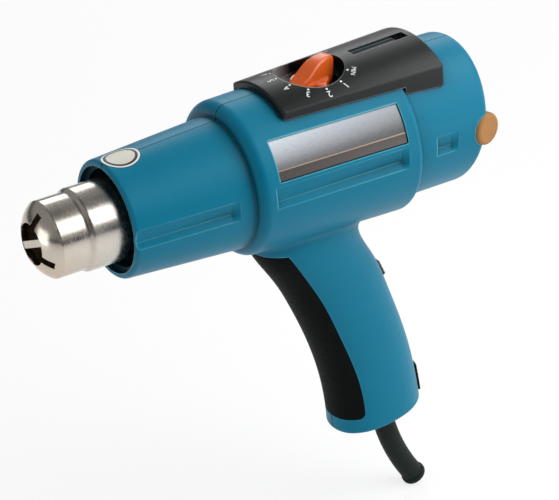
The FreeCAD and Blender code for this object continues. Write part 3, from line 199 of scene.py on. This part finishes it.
# Painted reflection on the plate: pale at its head, dark at its foot
PLATE_REFLECTION_HEAD = srgb(172, 180, 188)
PLATE_REFLECTION_FOOT = srgb(104, 102, 102)
PLATE_LINE_TINT = srgb(160, 142, 126)
PLATE_BAND_TINT = srgb(74, 68, 66)


# --------------------------------------------------------------- node helpers
class Finish:
    """A material with one Principled shader and short calls to build its nodes."""

    def __init__(self, name, colour, rough, metal=0.0, **sockets):
        self.material = bpy.data.materials.new(name)
        self.material.use_nodes = True
        self.tree = self.material.node_tree
        self.shader = self.tree.nodes["Principled BSDF"]
        self.shader.inputs["Base Color"].default_value = colour
        self.shader.inputs["Roughness"].default_value = rough
        self.shader.inputs["Metallic"].default_value = metal
        for socket, value in sockets.items():
            self.shader.inputs[socket.replace("_", " ")].default_value = value
        self.place = self.node("ShaderNodeTexCoord").outputs["Object"]

    def node(self, kind, **values):
        """Add a node and set its properties."""
        made = self.tree.nodes.new(kind)
        for name, value in values.items():
            setattr(made, name, value)
        return made

    def link(self, source, target):
        """Join two sockets."""
        self.tree.links.new(source, target)

    def stretched(self, scale):
        """Object coordinates scaled by an (x, y, z) factor."""
        mapping = self.node("ShaderNodeMapping")
        mapping.inputs["Scale"].default_value = scale
        self.link(self.place, mapping.inputs["Vector"])
        return mapping.outputs["Vector"]

    def noise(self, size, detail=2.0, stretch=None):
        """Noise whose blotches are about size metres across."""
        made = self.node("ShaderNodeTexNoise")
        made.inputs["Scale"].default_value = 1 / size
        made.inputs["Detail"].default_value = detail
        vector = self.stretched(stretch) if stretch else self.place
        self.link(vector, made.inputs["Vector"])
        return made.outputs["Fac"]

    def cells(self, size):
        """Distance to the nearest of scattered points about size metres apart."""
        made = self.node("ShaderNodeTexVoronoi")
        made.inputs["Scale"].default_value = 1 / size
        self.link(self.place, made.inputs["Vector"])
        return made.outputs["Distance"]

    def spread(self, value, low, high, start=0.0, end=1.0):
        """Map a value from start..end to low..high, clamped."""
        made = self.node("ShaderNodeMapRange")
        made.inputs["From Min"].default_value = start
        made.inputs["From Max"].default_value = end
        made.inputs["To Min"].default_value = low
        made.inputs["To Max"].default_value = high
        self.link(value, made.inputs["Value"])
        return made.outputs["Result"]

    def grained(self, noise, low, high):
        """Map a noise's usual range to low..high."""
        return self.spread(noise, low, high, *NOISE_RANGE)

    def mixed(self, factor, first, second):
        """Mix two colours, each a colour or a socket."""
        made = self.node("ShaderNodeMix", data_type="RGBA")
        self.link(factor, made.inputs["Factor"])
        for socket, value in ((made.inputs[6], first), (made.inputs[7], second)):
            if isinstance(value, tuple):
                socket.default_value = value
            else:
                self.link(value, socket)
        return made.outputs[2]

    def math(self, operation, first, second):
        """One arithmetic step; the second term is a number or a socket."""
        made = self.node("ShaderNodeMath", operation=operation)
        self.link(first, made.inputs[0])
        if isinstance(second, (int, float)):
            made.inputs[1].default_value = second
        else:
            self.link(second, made.inputs[1])
        return made.outputs[0]

    def axis(self, name):
        """One of the object coordinates."""
        made = self.node("ShaderNodeSeparateXYZ")
        self.link(self.place, made.inputs[0])
        return made.outputs[name]

    def distance(self, first, second, first_at=0.0):
        """Distance in a plane from an axis, over two object coordinates."""
        along = self.math("SUBTRACT", self.axis(first), first_at)
        across = self.axis(second)
        square = self.math("ADD", self.math("MULTIPLY", along, along),
                           self.math("MULTIPLY", across, across))
        return self.math("SQRT", square, 0.0)

    def edge_mask(self, radius):
        """1 on convex or concave edges sharper than the radius, 0 on open faces."""
        product = self.node("ShaderNodeVectorMath", operation="DOT_PRODUCT")
        self.link(self.softened(radius), product.inputs[0])
        self.link(self.node("ShaderNodeNewGeometry").outputs["Normal"], product.inputs[1])
        return self.spread(product.outputs["Value"], 1.0, 0.0, *EDGE_TURN)

    def hollow_shade(self, reach, darkest):
        """A painted shade factor that falls from 1 on open faces to its darkest in a hollow.
        """
        made = self.node("ShaderNodeAmbientOcclusion", samples=8)
        made.inputs["Distance"].default_value = reach
        return self.spread(made.outputs["AO"], darkest, 1.0, *HOLLOW_SKY)

    def darker(self, colour, factor):
        """A colour times a factor, each a socket."""
        made = self.node("ShaderNodeVectorMath", operation="SCALE")
        self.link(colour, made.inputs[0])
        self.link(factor, made.inputs["Scale"])
        return made.outputs[0]

    def colour(self, socket):
        """Use a colour socket as the base colour."""
        self.link(socket, self.shader.inputs["Base Color"])

    def rough(self, socket):
        """Use a value socket as the roughness."""
        self.link(socket, self.shader.inputs["Roughness"])

    def relief(self, height, depth, edge):
        """Bump of a depth in metres, over edges softened by a radius."""
        made = self.node("ShaderNodeBump")
        made.inputs["Distance"].default_value = depth
        made.inputs["Strength"].default_value = 1.0
        self.link(height, made.inputs["Height"])
        self.link(self.softened(edge), made.inputs["Normal"])
        self.link(made.outputs["Normal"], self.shader.inputs["Normal"])

    def softened(self, radius):
        """Normals rounded over sharp edges."""
        made = self.node("ShaderNodeBevel", samples=4)
        made.inputs["Radius"].default_value = radius
        return made.outputs["Normal"]


def shade(colour, factor):
    """A colour made darker or lighter."""
    return (*[min(1.0, c * factor) for c in colour[:3]], 1.0)


# ------------------------------------------------------------------- finishes
def moulded(name, colour, rough):
    """Moulded plastic with a spark-eroded grain and faint flow marks."""
    made = Finish(name, colour, rough)
    cloudy = made.noise(30 * MM, 3.0)
    made.colour(made.mixed(cloudy, shade(colour, 0.93), shade(colour, 1.07)))
    fine = made.noise(0.35 * MM)
    made.rough(made.grained(fine, rough - 0.06, rough + 0.08))
    made.relief(fine, 0.012 * MM, 0.35 * MM)
    return made.material


def shell_plastic(name):
    """Teal shell: fine grain, painted highlights on sharp edges, and painted shade inside
    round the nozzle and in hollows.
    """
    made = Finish(name, TEAL, 0.44, Specular_IOR_Level=0.25, Specular_Tint=TEAL_SHINE)
    cloudy = made.noise(26 * MM, 3.0)
    face = made.mixed(cloudy, shade(TEAL, 0.92), shade(TEAL, 1.08))
    off_seam = made.math("ABSOLUTE", made.axis("Y"), 0.0)
    # Painted highlights on sharp edges, faded near the seam and on the handle
    edges = made.math("MULTIPLY", made.edge_mask(0.9 * MM),
                      made.spread(off_seam, 0.0, 0.9, *SEAM_CLEAR))
    edges = made.math("MULTIPLY", edges, made.spread(made.axis("Z"), 0.15, 1.0, *GRIP_FADE_Z))
    lit = made.mixed(edges, face, TEAL_EDGE_HIGHLIGHT)
    # Painted shade: the shell's inside round the nozzle is darkened
    wall = made.math("ADD", made.math("MULTIPLY", made.axis("X"), TUBE_SLOPE),
                     TUBE_MOUTH_R - TUBE_SLOPE * TUBE_MOUTH_X)
    depth = made.math("SUBTRACT", wall, made.distance("Y", "Z"))
    inside = made.math("MULTIPLY", made.spread(depth, 0.0, 1.0, *SHELL_INSIDE_DEPTH),
                       made.spread(made.axis("X"), 1.0, 0.0, TUBE_ROOT_X - MM, TUBE_ROOT_X))
    shell = made.mixed(inside, lit, INSIDE_SHADE)
    # Painted shade in hollows and creases
    hollow_shade = made.math("MULTIPLY", made.hollow_shade(9 * MM, 0.30), made.hollow_shade(2.5 * MM, 0.50))
    seam = made.spread(off_seam, 0.45, 1.0, *SEAM_LINE)
    made.colour(made.darker(shell, made.math("MULTIPLY", hollow_shade, seam)))
    fine = made.noise(0.5 * MM)
    made.rough(made.grained(fine, 0.32, 0.50))
    made.relief(fine, 0.035 * MM, 0.35 * MM)
    return made.material


def panel_plastic(name):
    """Black panel: satin crown, painted highlights on its edges, a slot floor painted lighter,
    and a polished dial well with a painted reflection on its left side.
    """
    made = Finish(name, BLACK, 0.36, Specular_IOR_Level=0.3)
    cloudy = made.noise(20 * MM, 3.0)
    face = made.mixed(cloudy, shade(BLACK, 0.85), shade(BLACK, 1.2))
    across = made.math("ABSOLUTE", made.axis("Y"), 0.0)
    near, far = PANEL_SLOT_X
    blur = 0.1 * MM
    half = PANEL_SLOT_HALF_WIDTH
    # The slot's floor is painted lighter against its shade
    slot = made.spread(across, 1.0, 0.0, half, half + blur)
    for side in (made.spread(made.axis("X"), 0.0, 1.0, near - blur, near),
                 made.spread(made.axis("X"), 1.0, 0.0, far, far + blur)):
        slot = made.math("MULTIPLY", slot, side)
    face = made.mixed(slot, face, SLOT_FLOOR_PAINTED_LIGHT)
    # Painted highlights on the panel's edges
    outer = made.mixed(made.math("MULTIPLY", made.edge_mask(0.7 * MM), 0.8), face, PANEL_EDGE_HIGHLIGHT)
    well = made.spread(made.distance("X", "Y", DIAL_X), 0.0, 1.0, WELL_R, WELL_R + 0.3 * MM)
    # A painted reflection, paler toward the well's left side
    painted_reflection = made.spread(made.axis("X"), 1.0, 0.0, DIAL_X - 0.8 * WELL_R, DIAL_X)
    inner = made.mixed(painted_reflection, BLACK, WELL_PAINTED_REFLECTION)
    made.colour(made.mixed(well, inner, outer))
    fine = made.noise(0.6 * MM)
    satin = made.grained(fine, 0.30, 0.42)
    made.rough(made.math("ADD", made.math("MULTIPLY", satin, well),
                         made.spread(well, 0.12, 0.0)))
    made.link(made.spread(well, 0.8, 0.3), made.shader.inputs["Specular IOR Level"])
    made.relief(made.math("MULTIPLY", fine, well), 0.05 * MM, 0.4 * MM)
    return made.material


def rubbery(name, colour, rough=0.62):
    """Soft rubber with a coarse pitted face."""
    made = Finish(name, colour, rough, Specular_IOR_Level=0.06)
    pits = made.cells(0.9 * MM)
    patches = made.noise(12 * MM, 3.0)
    made.colour(made.mixed(patches, shade(colour, 0.8), shade(colour, 1.35)))
    made.rough(made.spread(pits, rough + 0.1, rough - 0.1, 0.1, 0.8))
    made.relief(made.math("ADD", pits, made.noise(0.25 * MM)), 0.05 * MM, 0.3 * MM)
    return made.material


def spun_steel(name):
    """Spun steel: fine turning lines, a straw tint where it runs hottest, strengthened toward
    the underside as a painted reflection of the floor, and painted shade in hollows.
    """
    made = Finish(name, STEEL, 0.24, 1.0)
    lines = made.noise(1 * MM, 3.0, (14, 0.4, 0.4))
    patches = made.noise(7 * MM, 4.0)
    # Heat tint near the mouth; its strength toward the underside is a painted reflection of
    # the floor
    heat = made.spread(made.axis("X"), 1.0, 0.0, *HEAT_X)
    low = made.spread(made.axis("Z"), 1.0, 0.25, *UNDERSIDE_REFLECTION_Z)
    tint = made.math("MULTIPLY", made.math("MULTIPLY", heat, low), patches)
    # Painted shade in hollows
    made.colour(made.darker(made.mixed(tint, STEEL, STRAW), made.hollow_shade(3 * MM, 0.35)))
    made.rough(made.math("ADD", made.grained(lines, 0.14, 0.30),
                         made.grained(patches, -0.03, 0.05)))
    made.relief(lines, 0.004 * MM, 0.25 * MM)
    return made.material


def translucent_orange(name):
    """Translucent orange plastic."""
    made = Finish(name, ORANGE, 0.22, Subsurface_Weight=0.35, Subsurface_Scale=4 * MM,
                  Transmission_Weight=0.25, IOR=1.49)
    made.shader.inputs["Subsurface Radius"].default_value = (1.0, 0.35, 0.08)
    cloudy = made.noise(6 * MM)
    made.colour(made.mixed(cloudy, shade(ORANGE, 0.92), shade(ORANGE, 1.08)))
    made.relief(made.noise(0.8 * MM), 0.006 * MM, 0.3 * MM)
    return made.material


def plate_metal(name):
    """Satin plate with a painted reflection, darker toward the rear and toward its foot, and a
    line over a dark band along its foot.
    """
    low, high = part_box("name_plate")
    height = high.z - low.z
    made = Finish(name, PLATE, 0.3, 0.35)
    z = made.axis("Z")
    band_top = low.z + PLATE_BAND_SHARE * height
    band = made.spread(z, 1.0, 0.0, band_top - 0.15 * MM, band_top)
    line_top = band_top + PLATE_LINE
    line = made.spread(z, 1.0, 0.0, line_top - 0.1 * MM, line_top)
    # Painted reflection: darker toward the foot
    fade = made.spread(z, 0.0, 1.0, band_top, high.z)
    face = made.mixed(fade, PLATE_REFLECTION_FOOT, PLATE_REFLECTION_HEAD)
    # Painted reflection: darker toward the rear
    face = made.darker(face, made.spread(made.axis("X"), 1.0, 0.55, low.x, high.x))
    marked = made.mixed(line, face, PLATE_LINE_TINT)
    made.colour(made.mixed(band, marked, PLATE_BAND_TINT))
    lines = made.noise(0.6 * MM, 3.0, (0.15, 6, 6))
    made.rough(made.grained(lines, 0.24, 0.4))
    made.relief(lines, 0.003 * MM, 0.2 * MM)
    return made.material


def plain_metal(name, colour, rough):
    """Plated or bare metal with light handling marks."""
    made = Finish(name, colour, rough, 1.0)
    patches = made.noise(4 * MM, 5.0)
    made.colour(made.mixed(patches, shade(colour, 0.8), shade(colour, 1.1)))
    made.rough(made.grained(patches, rough - 0.08, rough + 0.12))
    made.relief(made.noise(0.4 * MM), 0.004 * MM, 0.2 * MM)
    return made.material


def mineral(name, colour):
    """Mica or pressed ceramic: matt, flecked and a little uneven."""
    made = Finish(name, colour, 0.7)
    flecks = made.cells(1.6 * MM)
    made.colour(made.mixed(flecks, shade(colour, 0.8), shade(colour, 1.1)))
    made.relief(made.noise(0.5 * MM, 4.0), 0.02 * MM, 0.2 * MM)
    return made.material


def matt_floor(name):
    """Pale floor that keeps the shadow but stays near white to the eye."""
    made = Finish(name, (0.9, 0.9, 0.9, 1.0), 0.9, Specular_IOR_Level=0.0)
    glow = made.node("ShaderNodeEmission")
    glow.inputs["Strength"].default_value = 1.0
    ray = made.node("ShaderNodeLightPath")
    seen = made.math("MAXIMUM", ray.outputs["Is Camera Ray"],
                     ray.outputs["Is Transmission Ray"])
    mirrored = made.math("MULTIPLY", ray.outputs["Is Glossy Ray"], FLOOR_MIRRORED)
    factor = made.math("MAXIMUM", made.math("MULTIPLY", seen, FLOOR_SEEN), mirrored)
    mixer = made.node("ShaderNodeMixShader")
    made.link(factor, mixer.inputs[0])
    made.link(made.shader.outputs[0], mixer.inputs[1])
    made.link(glow.outputs[0], mixer.inputs[2])
    output = made.tree.nodes["Material Output"]
    made.link(mixer.outputs[0], output.inputs["Surface"])
    return made.material


FINISHES = {
    "shell": shell_plastic("shell_teal"),
    "panel": panel_plastic("panel_black"),
    "dial": translucent_orange("dial_orange"),
    "plate": plate_metal("plate_satin"),
    "grip": rubbery("grip_rubber", RUBBER),
    "foot": rubbery("foot_rubber", TAN, 0.5),
    "steel": spun_steel("nozzle_steel"),
    "insulator": mineral("ceramic", srgb(205, 200, 188)),
    "mica": mineral("mica", srgb(178, 160, 128)),
    "wire": plain_metal("resistance_wire", srgb(120, 108, 96), 0.45),
    "zinc": plain_metal("plated_steel", srgb(188, 190, 194), 0.32),
    "iron": plain_metal("laminations", srgb(96, 96, 100), 0.5),
    "inner_plastic": moulded("inner_plastic", srgb(58, 60, 62), 0.5),
    "board": moulded("board_green", srgb(40, 104, 66), 0.35),
    "component": moulded("component_black", srgb(44, 46, 54), 0.3),
    "sink": plain_metal("sink_aluminium", srgb(200, 203, 206), 0.4),
    "screw": plain_metal("screw_black", srgb(60, 60, 64), 0.4),
}


# The cord sleeve is a paler rubber than the pads, though it shares their slot
NODE_FINISHES = {"cord_sleeve": rubbery("sleeve_rubber", SLEEVE, 0.5)}


def dress_cad_nodes():
    """Give every CAD node the finish of its slot, or its own."""
    for entry in frame["record"]["subparts"]:
        node = nodes[entry["node"]]
        node.data.materials.clear()
        finish = NODE_FINISHES.get(entry["node"], FINISHES[entry["material_slot"]])
        node.data.materials.append(finish)


# -------------------------------------------------------------------- prints
def printed(name, colour):
    """A thin, slightly uneven layer of ink or foil."""
    made = Finish(name, colour, 0.45)
    cover = made.noise(0.5 * MM, 3.0)
    made.colour(made.mixed(cover, shade(colour, 0.86), shade(colour, 1.0)))
    made.rough(made.grained(cover, 0.38, 0.52))
    return made.material


def add_piece(name, vertices, faces, materials):
    """A new mesh piece of the gun's body."""
    mesh = bpy.data.meshes.new(name)
    mesh.from_pydata([tuple(v) for v in vertices], [], faces)
    for material in materials:
        mesh.materials.append(material)
    piece = bpy.data.objects.new(name, mesh)
    bpy.context.collection.objects.link(piece)
    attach(piece, "gun")
    return piece


def text_outline(words, height):
    """Vertices and faces of flat centred text of a height."""
    curve = bpy.data.curves.new("scale_text", "FONT")
    curve.body = words
    curve.size = height / FONT_CAP_SHARE
    curve.align_x = "CENTER"
    curve.align_y = "CENTER"
    holder = bpy.data.objects.new("scale_text", curve)
    bpy.context.collection.objects.link(holder)
    mesh = holder.to_mesh()
    vertices = [Vector((v.co.x, v.co.y)) for v in mesh.vertices]
    faces = [tuple(polygon.vertices) for polygon in mesh.polygons]
    holder.to_mesh_clear()
    bpy.data.objects.remove(holder)
    bpy.data.curves.remove(curve)
    return vertices, faces


def on_panel(x, y):
    """The point of the panel's crown above (x, y), lifted by the ink."""
    panel = nodes["control_panel"]
    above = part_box("control_panel")[1].z + 10 * MM
    inverse = panel.matrix_world.inverted()
    start = inverse @ Vector((x, y, above))
    down = inverse.to_3x3() @ Vector((0, 0, -1))
    _, place, _, _ = panel.ray_cast(start, down)
    return (panel.matrix_world @ place) + Vector((0, 0, PRINT_LIFT))


def build_scale():
    """Dots and marks of the dial's scale, laid on the panel's crown."""
    vertices, faces = [], []

    def lay(flat, loops, ring, angle):
        """Add flat shapes at a ring radius, their tops pointing outward."""
        out = Vector((math.cos(angle), math.sin(angle)))
        side = Vector((out.y, -out.x))
        first = len(vertices)
        for point in flat:
            place = Vector((DIAL_X, 0)) + out * (ring + point.y) + side * point.x
            vertices.append(on_panel(place.x, place.y))
        faces.extend(tuple(first + index for index in loop) for loop in loops)

    corners = range(SCALE_DOT_CORNERS)
    turns = [2 * math.pi * corner / SCALE_DOT_CORNERS for corner in corners]
    dot = [Vector((math.cos(turn), math.sin(turn))) * SCALE_DOT_R for turn in turns]
    for index, words in enumerate(SCALE_MARKS):
        angle = math.radians(SCALE_FIRST + index * SCALE_STEP)
        lay(dot, [tuple(corners)], SCALE_DOT_RING, angle)
        height = SCALE_TEXT_HEIGHT * (SCALE_WORD_SHARE if len(words) > 1 else 1.0)
        lay(*text_outline(words, height), SCALE_TEXT_RING, angle)
    add_piece("dial_scale", vertices, faces, [printed("scale_ink", PRINT)])


def build_sticker():
    """A bare round sticker wrapped on the tube's top: centre, ring and rim."""
    vertices, faces, bands = [], [], []

    def on_tube(radius, turn):
        """A point of the sticker, wrapped round the tube."""
        x = STICKER_X + radius * math.cos(turn)
        tube = TUBE_MOUTH_R + TUBE_SLOPE * (x - TUBE_MOUTH_X) + 2 * PRINT_LIFT
        angle = radius * math.sin(turn) / tube
        return Vector((x, tube * math.sin(angle), tube * math.cos(angle)))

    for band, (inner, outer) in enumerate(STICKER_BANDS):
        first = len(vertices)
        for ring in range(STICKER_RINGS + 1):
            radius = inner + (outer - inner) * ring / STICKER_RINGS
            for step in range(STICKER_STEPS):
                vertices.append(on_tube(radius, 2 * math.pi * step / STICKER_STEPS))
        for ring in range(STICKER_RINGS):
            for step in range(STICKER_STEPS):
                after = (step + 1) % STICKER_STEPS
                low = first + ring * STICKER_STEPS
                high = low + STICKER_STEPS
                faces.append((low + step, high + step, high + after, low + after))
                bands.append(band)
    foils = [
        printed("sticker_centre", srgb(206, 204, 192)),
        printed("sticker_ring", srgb(34, 34, 36)),
        printed("sticker_rim", srgb(226, 228, 226)),
    ]
    piece = add_piece("tube_sticker", vertices, faces, foils)
    for polygon, band in zip(piece.data.polygons, bands):
        polygon.material_index = band
        polygon.use_smooth = True


def build_seam_tongue():
    """A tongue in the parting gap: the left half's parting face, set back and thickened."""
    half = nodes["housing_left"]
    form = bmesh.new()
    form.from_mesh(half.data)
    form.transform(half.matrix_world)
    bmesh.ops.remove_doubles(form, verts=form.verts[:], dist=MERGE_DISTANCE)
    form.normal_update()

    def on_parting_plane(face):
        """Whether a face lies on the half's parting plane."""
        off_plane = abs(face.calc_center_median().y + SEAM_GAP / 2)
        return face.normal.y >= PARTING_FACING and off_plane <= PARTING_SLACK

    others = [face for face in form.faces if not on_parting_plane(face)]
    bmesh.ops.delete(form, geom=others, context="FACES")
    border = bmesh.ops.inset_region(form, faces=form.faces[:], thickness=TONGUE_SET_BACK,
                                    use_boundary=True, use_even_offset=True)
    bmesh.ops.delete(form, geom=border["faces"], context="FACES")
    raised = bmesh.ops.extrude_face_region(form, geom=form.faces[:])
    lifted = [item for item in raised["geom"] if isinstance(item, bmesh.types.BMVert)]
    bmesh.ops.translate(form, verts=lifted, vec=(0, TONGUE_SHARE * SEAM_GAP, 0))
    vertices = [vertex.co.copy() for vertex in form.verts]
    form.verts.index_update()
    faces = [tuple(vertex.index for vertex in face.verts) for face in form.faces]
    form.free()
    # The tongue takes the painted shade of the shell's inside
    add_piece("seam_tongue", vertices, faces, [moulded("tongue_teal", INSIDE_SHADE, 0.6)])


# ------------------------------------------------------------- stage and light
def build_floor():
    """A wide pale floor under the object's lowest point."""
    low = cad_box[0][2]
    mesh = bpy.data.meshes.new("floor")
    signs = ((-1, -1), (1, -1), (1, 1), (-1, 1))
    corners = [(x * FLOOR_HALF, y * FLOOR_HALF, low) for x, y in signs]
    mesh.from_pydata(corners, [], [(0, 1, 2, 3)])
    floor = bpy.data.objects.new("floor", mesh)
    bpy.context.collection.objects.link(floor)
    mesh.materials.append(matt_floor("floor_matt"))


def build_world():
    """A light tent, dimmer low, overhead and toward the camera, and white where it is seen."""
    world = bpy.data.worlds.new("studio")
    bpy.context.scene.world = world
    world.use_nodes = True
    tree = world.node_tree
    tree.nodes.clear()
    coords = tree.nodes.new("ShaderNodeTexCoord")
    split = tree.nodes.new("ShaderNodeSeparateXYZ")
    tree.links.new(coords.outputs["Generated"], split.inputs[0])
    toward = tree.nodes.new("ShaderNodeVectorMath")
    toward.operation = "DOT_PRODUCT"
    tree.links.new(coords.outputs["Generated"], toward.inputs[0])
    toward.inputs[1].default_value = camera_axes()[2]

    def level(socket, bounds):
        """A smooth step of a socket's value."""
        step = tree.nodes.new("ShaderNodeMapRange")
        step.interpolation_type = "SMOOTHSTEP"
        for field, value in zip(("From Min", "From Max", "To Min", "To Max"), bounds):
            step.inputs[field].default_value = value
        tree.links.new(socket, step.inputs["Value"])
        return step.outputs["Result"]

    def times(first, second):
        """The product of two sockets."""
        product = tree.nodes.new("ShaderNodeMath")
        product.operation = "MULTIPLY"
        tree.links.new(first, product.inputs[0])
        tree.links.new(second, product.inputs[1])
        return product.outputs[0]

    walls = level(split.outputs["Z"], HORIZON_STEP)
    ceiling = level(split.outputs["Z"], CEILING_STEP)
    doorway = level(toward.outputs["Value"], DOORWAY_STEP)
    ray = tree.nodes.new("ShaderNodeLightPath")
    mirrored = level(ray.outputs["Is Glossy Ray"], MIRROR_STEP)
    brightest = times(times(times(walls, ceiling), doorway), mirrored)
    for kind in ("Is Camera Ray", "Is Transmission Ray"):
        larger = tree.nodes.new("ShaderNodeMath")
        larger.operation = "MAXIMUM"
        tree.links.new(brightest, larger.inputs[0])
        tree.links.new(ray.outputs[kind], larger.inputs[1])
        brightest = larger.outputs[0]
    background = tree.nodes.new("ShaderNodeBackground")
    tree.links.new(brightest, background.inputs["Strength"])
    output = tree.nodes.new("ShaderNodeOutputWorld")
    tree.links.new(background.outputs[0], output.inputs["Surface"])


def soft_lamp(name, place, size, power, mirrored):
    """A soft lamp pointed at the object; one that is not mirrored gives no highlight."""
    data = bpy.data.lights.new(name, "AREA")
    data.shape = "RECTANGLE"
    data.size, data.size_y = size
    data.energy = power
    lamp = bpy.data.objects.new(name, data)
    lamp.location = place
    lamp.rotation_euler = (CAMERA_TARGET - Vector(place)).to_track_quat("-Z", "Y").to_euler()
    lamp.visible_camera = False
    lamp.visible_glossy = mirrored
    bpy.context.collection.objects.link(lamp)


def build_lamps():
    """Soft boxes round the object, and two small ones near its rear end and its handle."""
    for lamp in LAMPS:
        soft_lamp(*lamp)


def camera_axes():
    """The camera's right, up and backward directions, before its roll."""
    azimuth = math.radians(CAMERA_AZIMUTH)
    elevation = math.radians(CAMERA_ELEVATION)
    back = Vector((math.sin(azimuth) * math.cos(elevation),
                   -math.cos(azimuth) * math.cos(elevation), math.sin(elevation)))
    right = Vector((math.cos(azimuth), math.sin(azimuth), 0))
    return right, back.cross(right), back


def build_camera():
    """The camera at the photograph's angle."""
    roll = math.radians(CAMERA_ROLL)
    right, up, back = camera_axes()
    tilted_right = math.cos(roll) * right + math.sin(roll) * up
    tilted_up = -math.sin(roll) * right + math.cos(roll) * up
    data = bpy.data.cameras.new("camera")
    data.lens = CAMERA_LENS
    data.sensor_width = SENSOR
    data.sensor_fit = "HORIZONTAL"
    camera = bpy.data.objects.new("camera", data)
    turned = Matrix((tilted_right, tilted_up, back)).transposed()
    camera.matrix_world = turned.to_4x4()
    camera.location = CAMERA_TARGET + back * CAMERA_DISTANCE
    bpy.context.collection.objects.link(camera)
    bpy.context.scene.camera = camera


bpy.context.scene.view_settings.view_transform = "Standard"
dress_cad_nodes()
build_scale()
build_sticker()
build_seam_tongue()
build_floor()
build_world()
build_lamps()
build_camera()
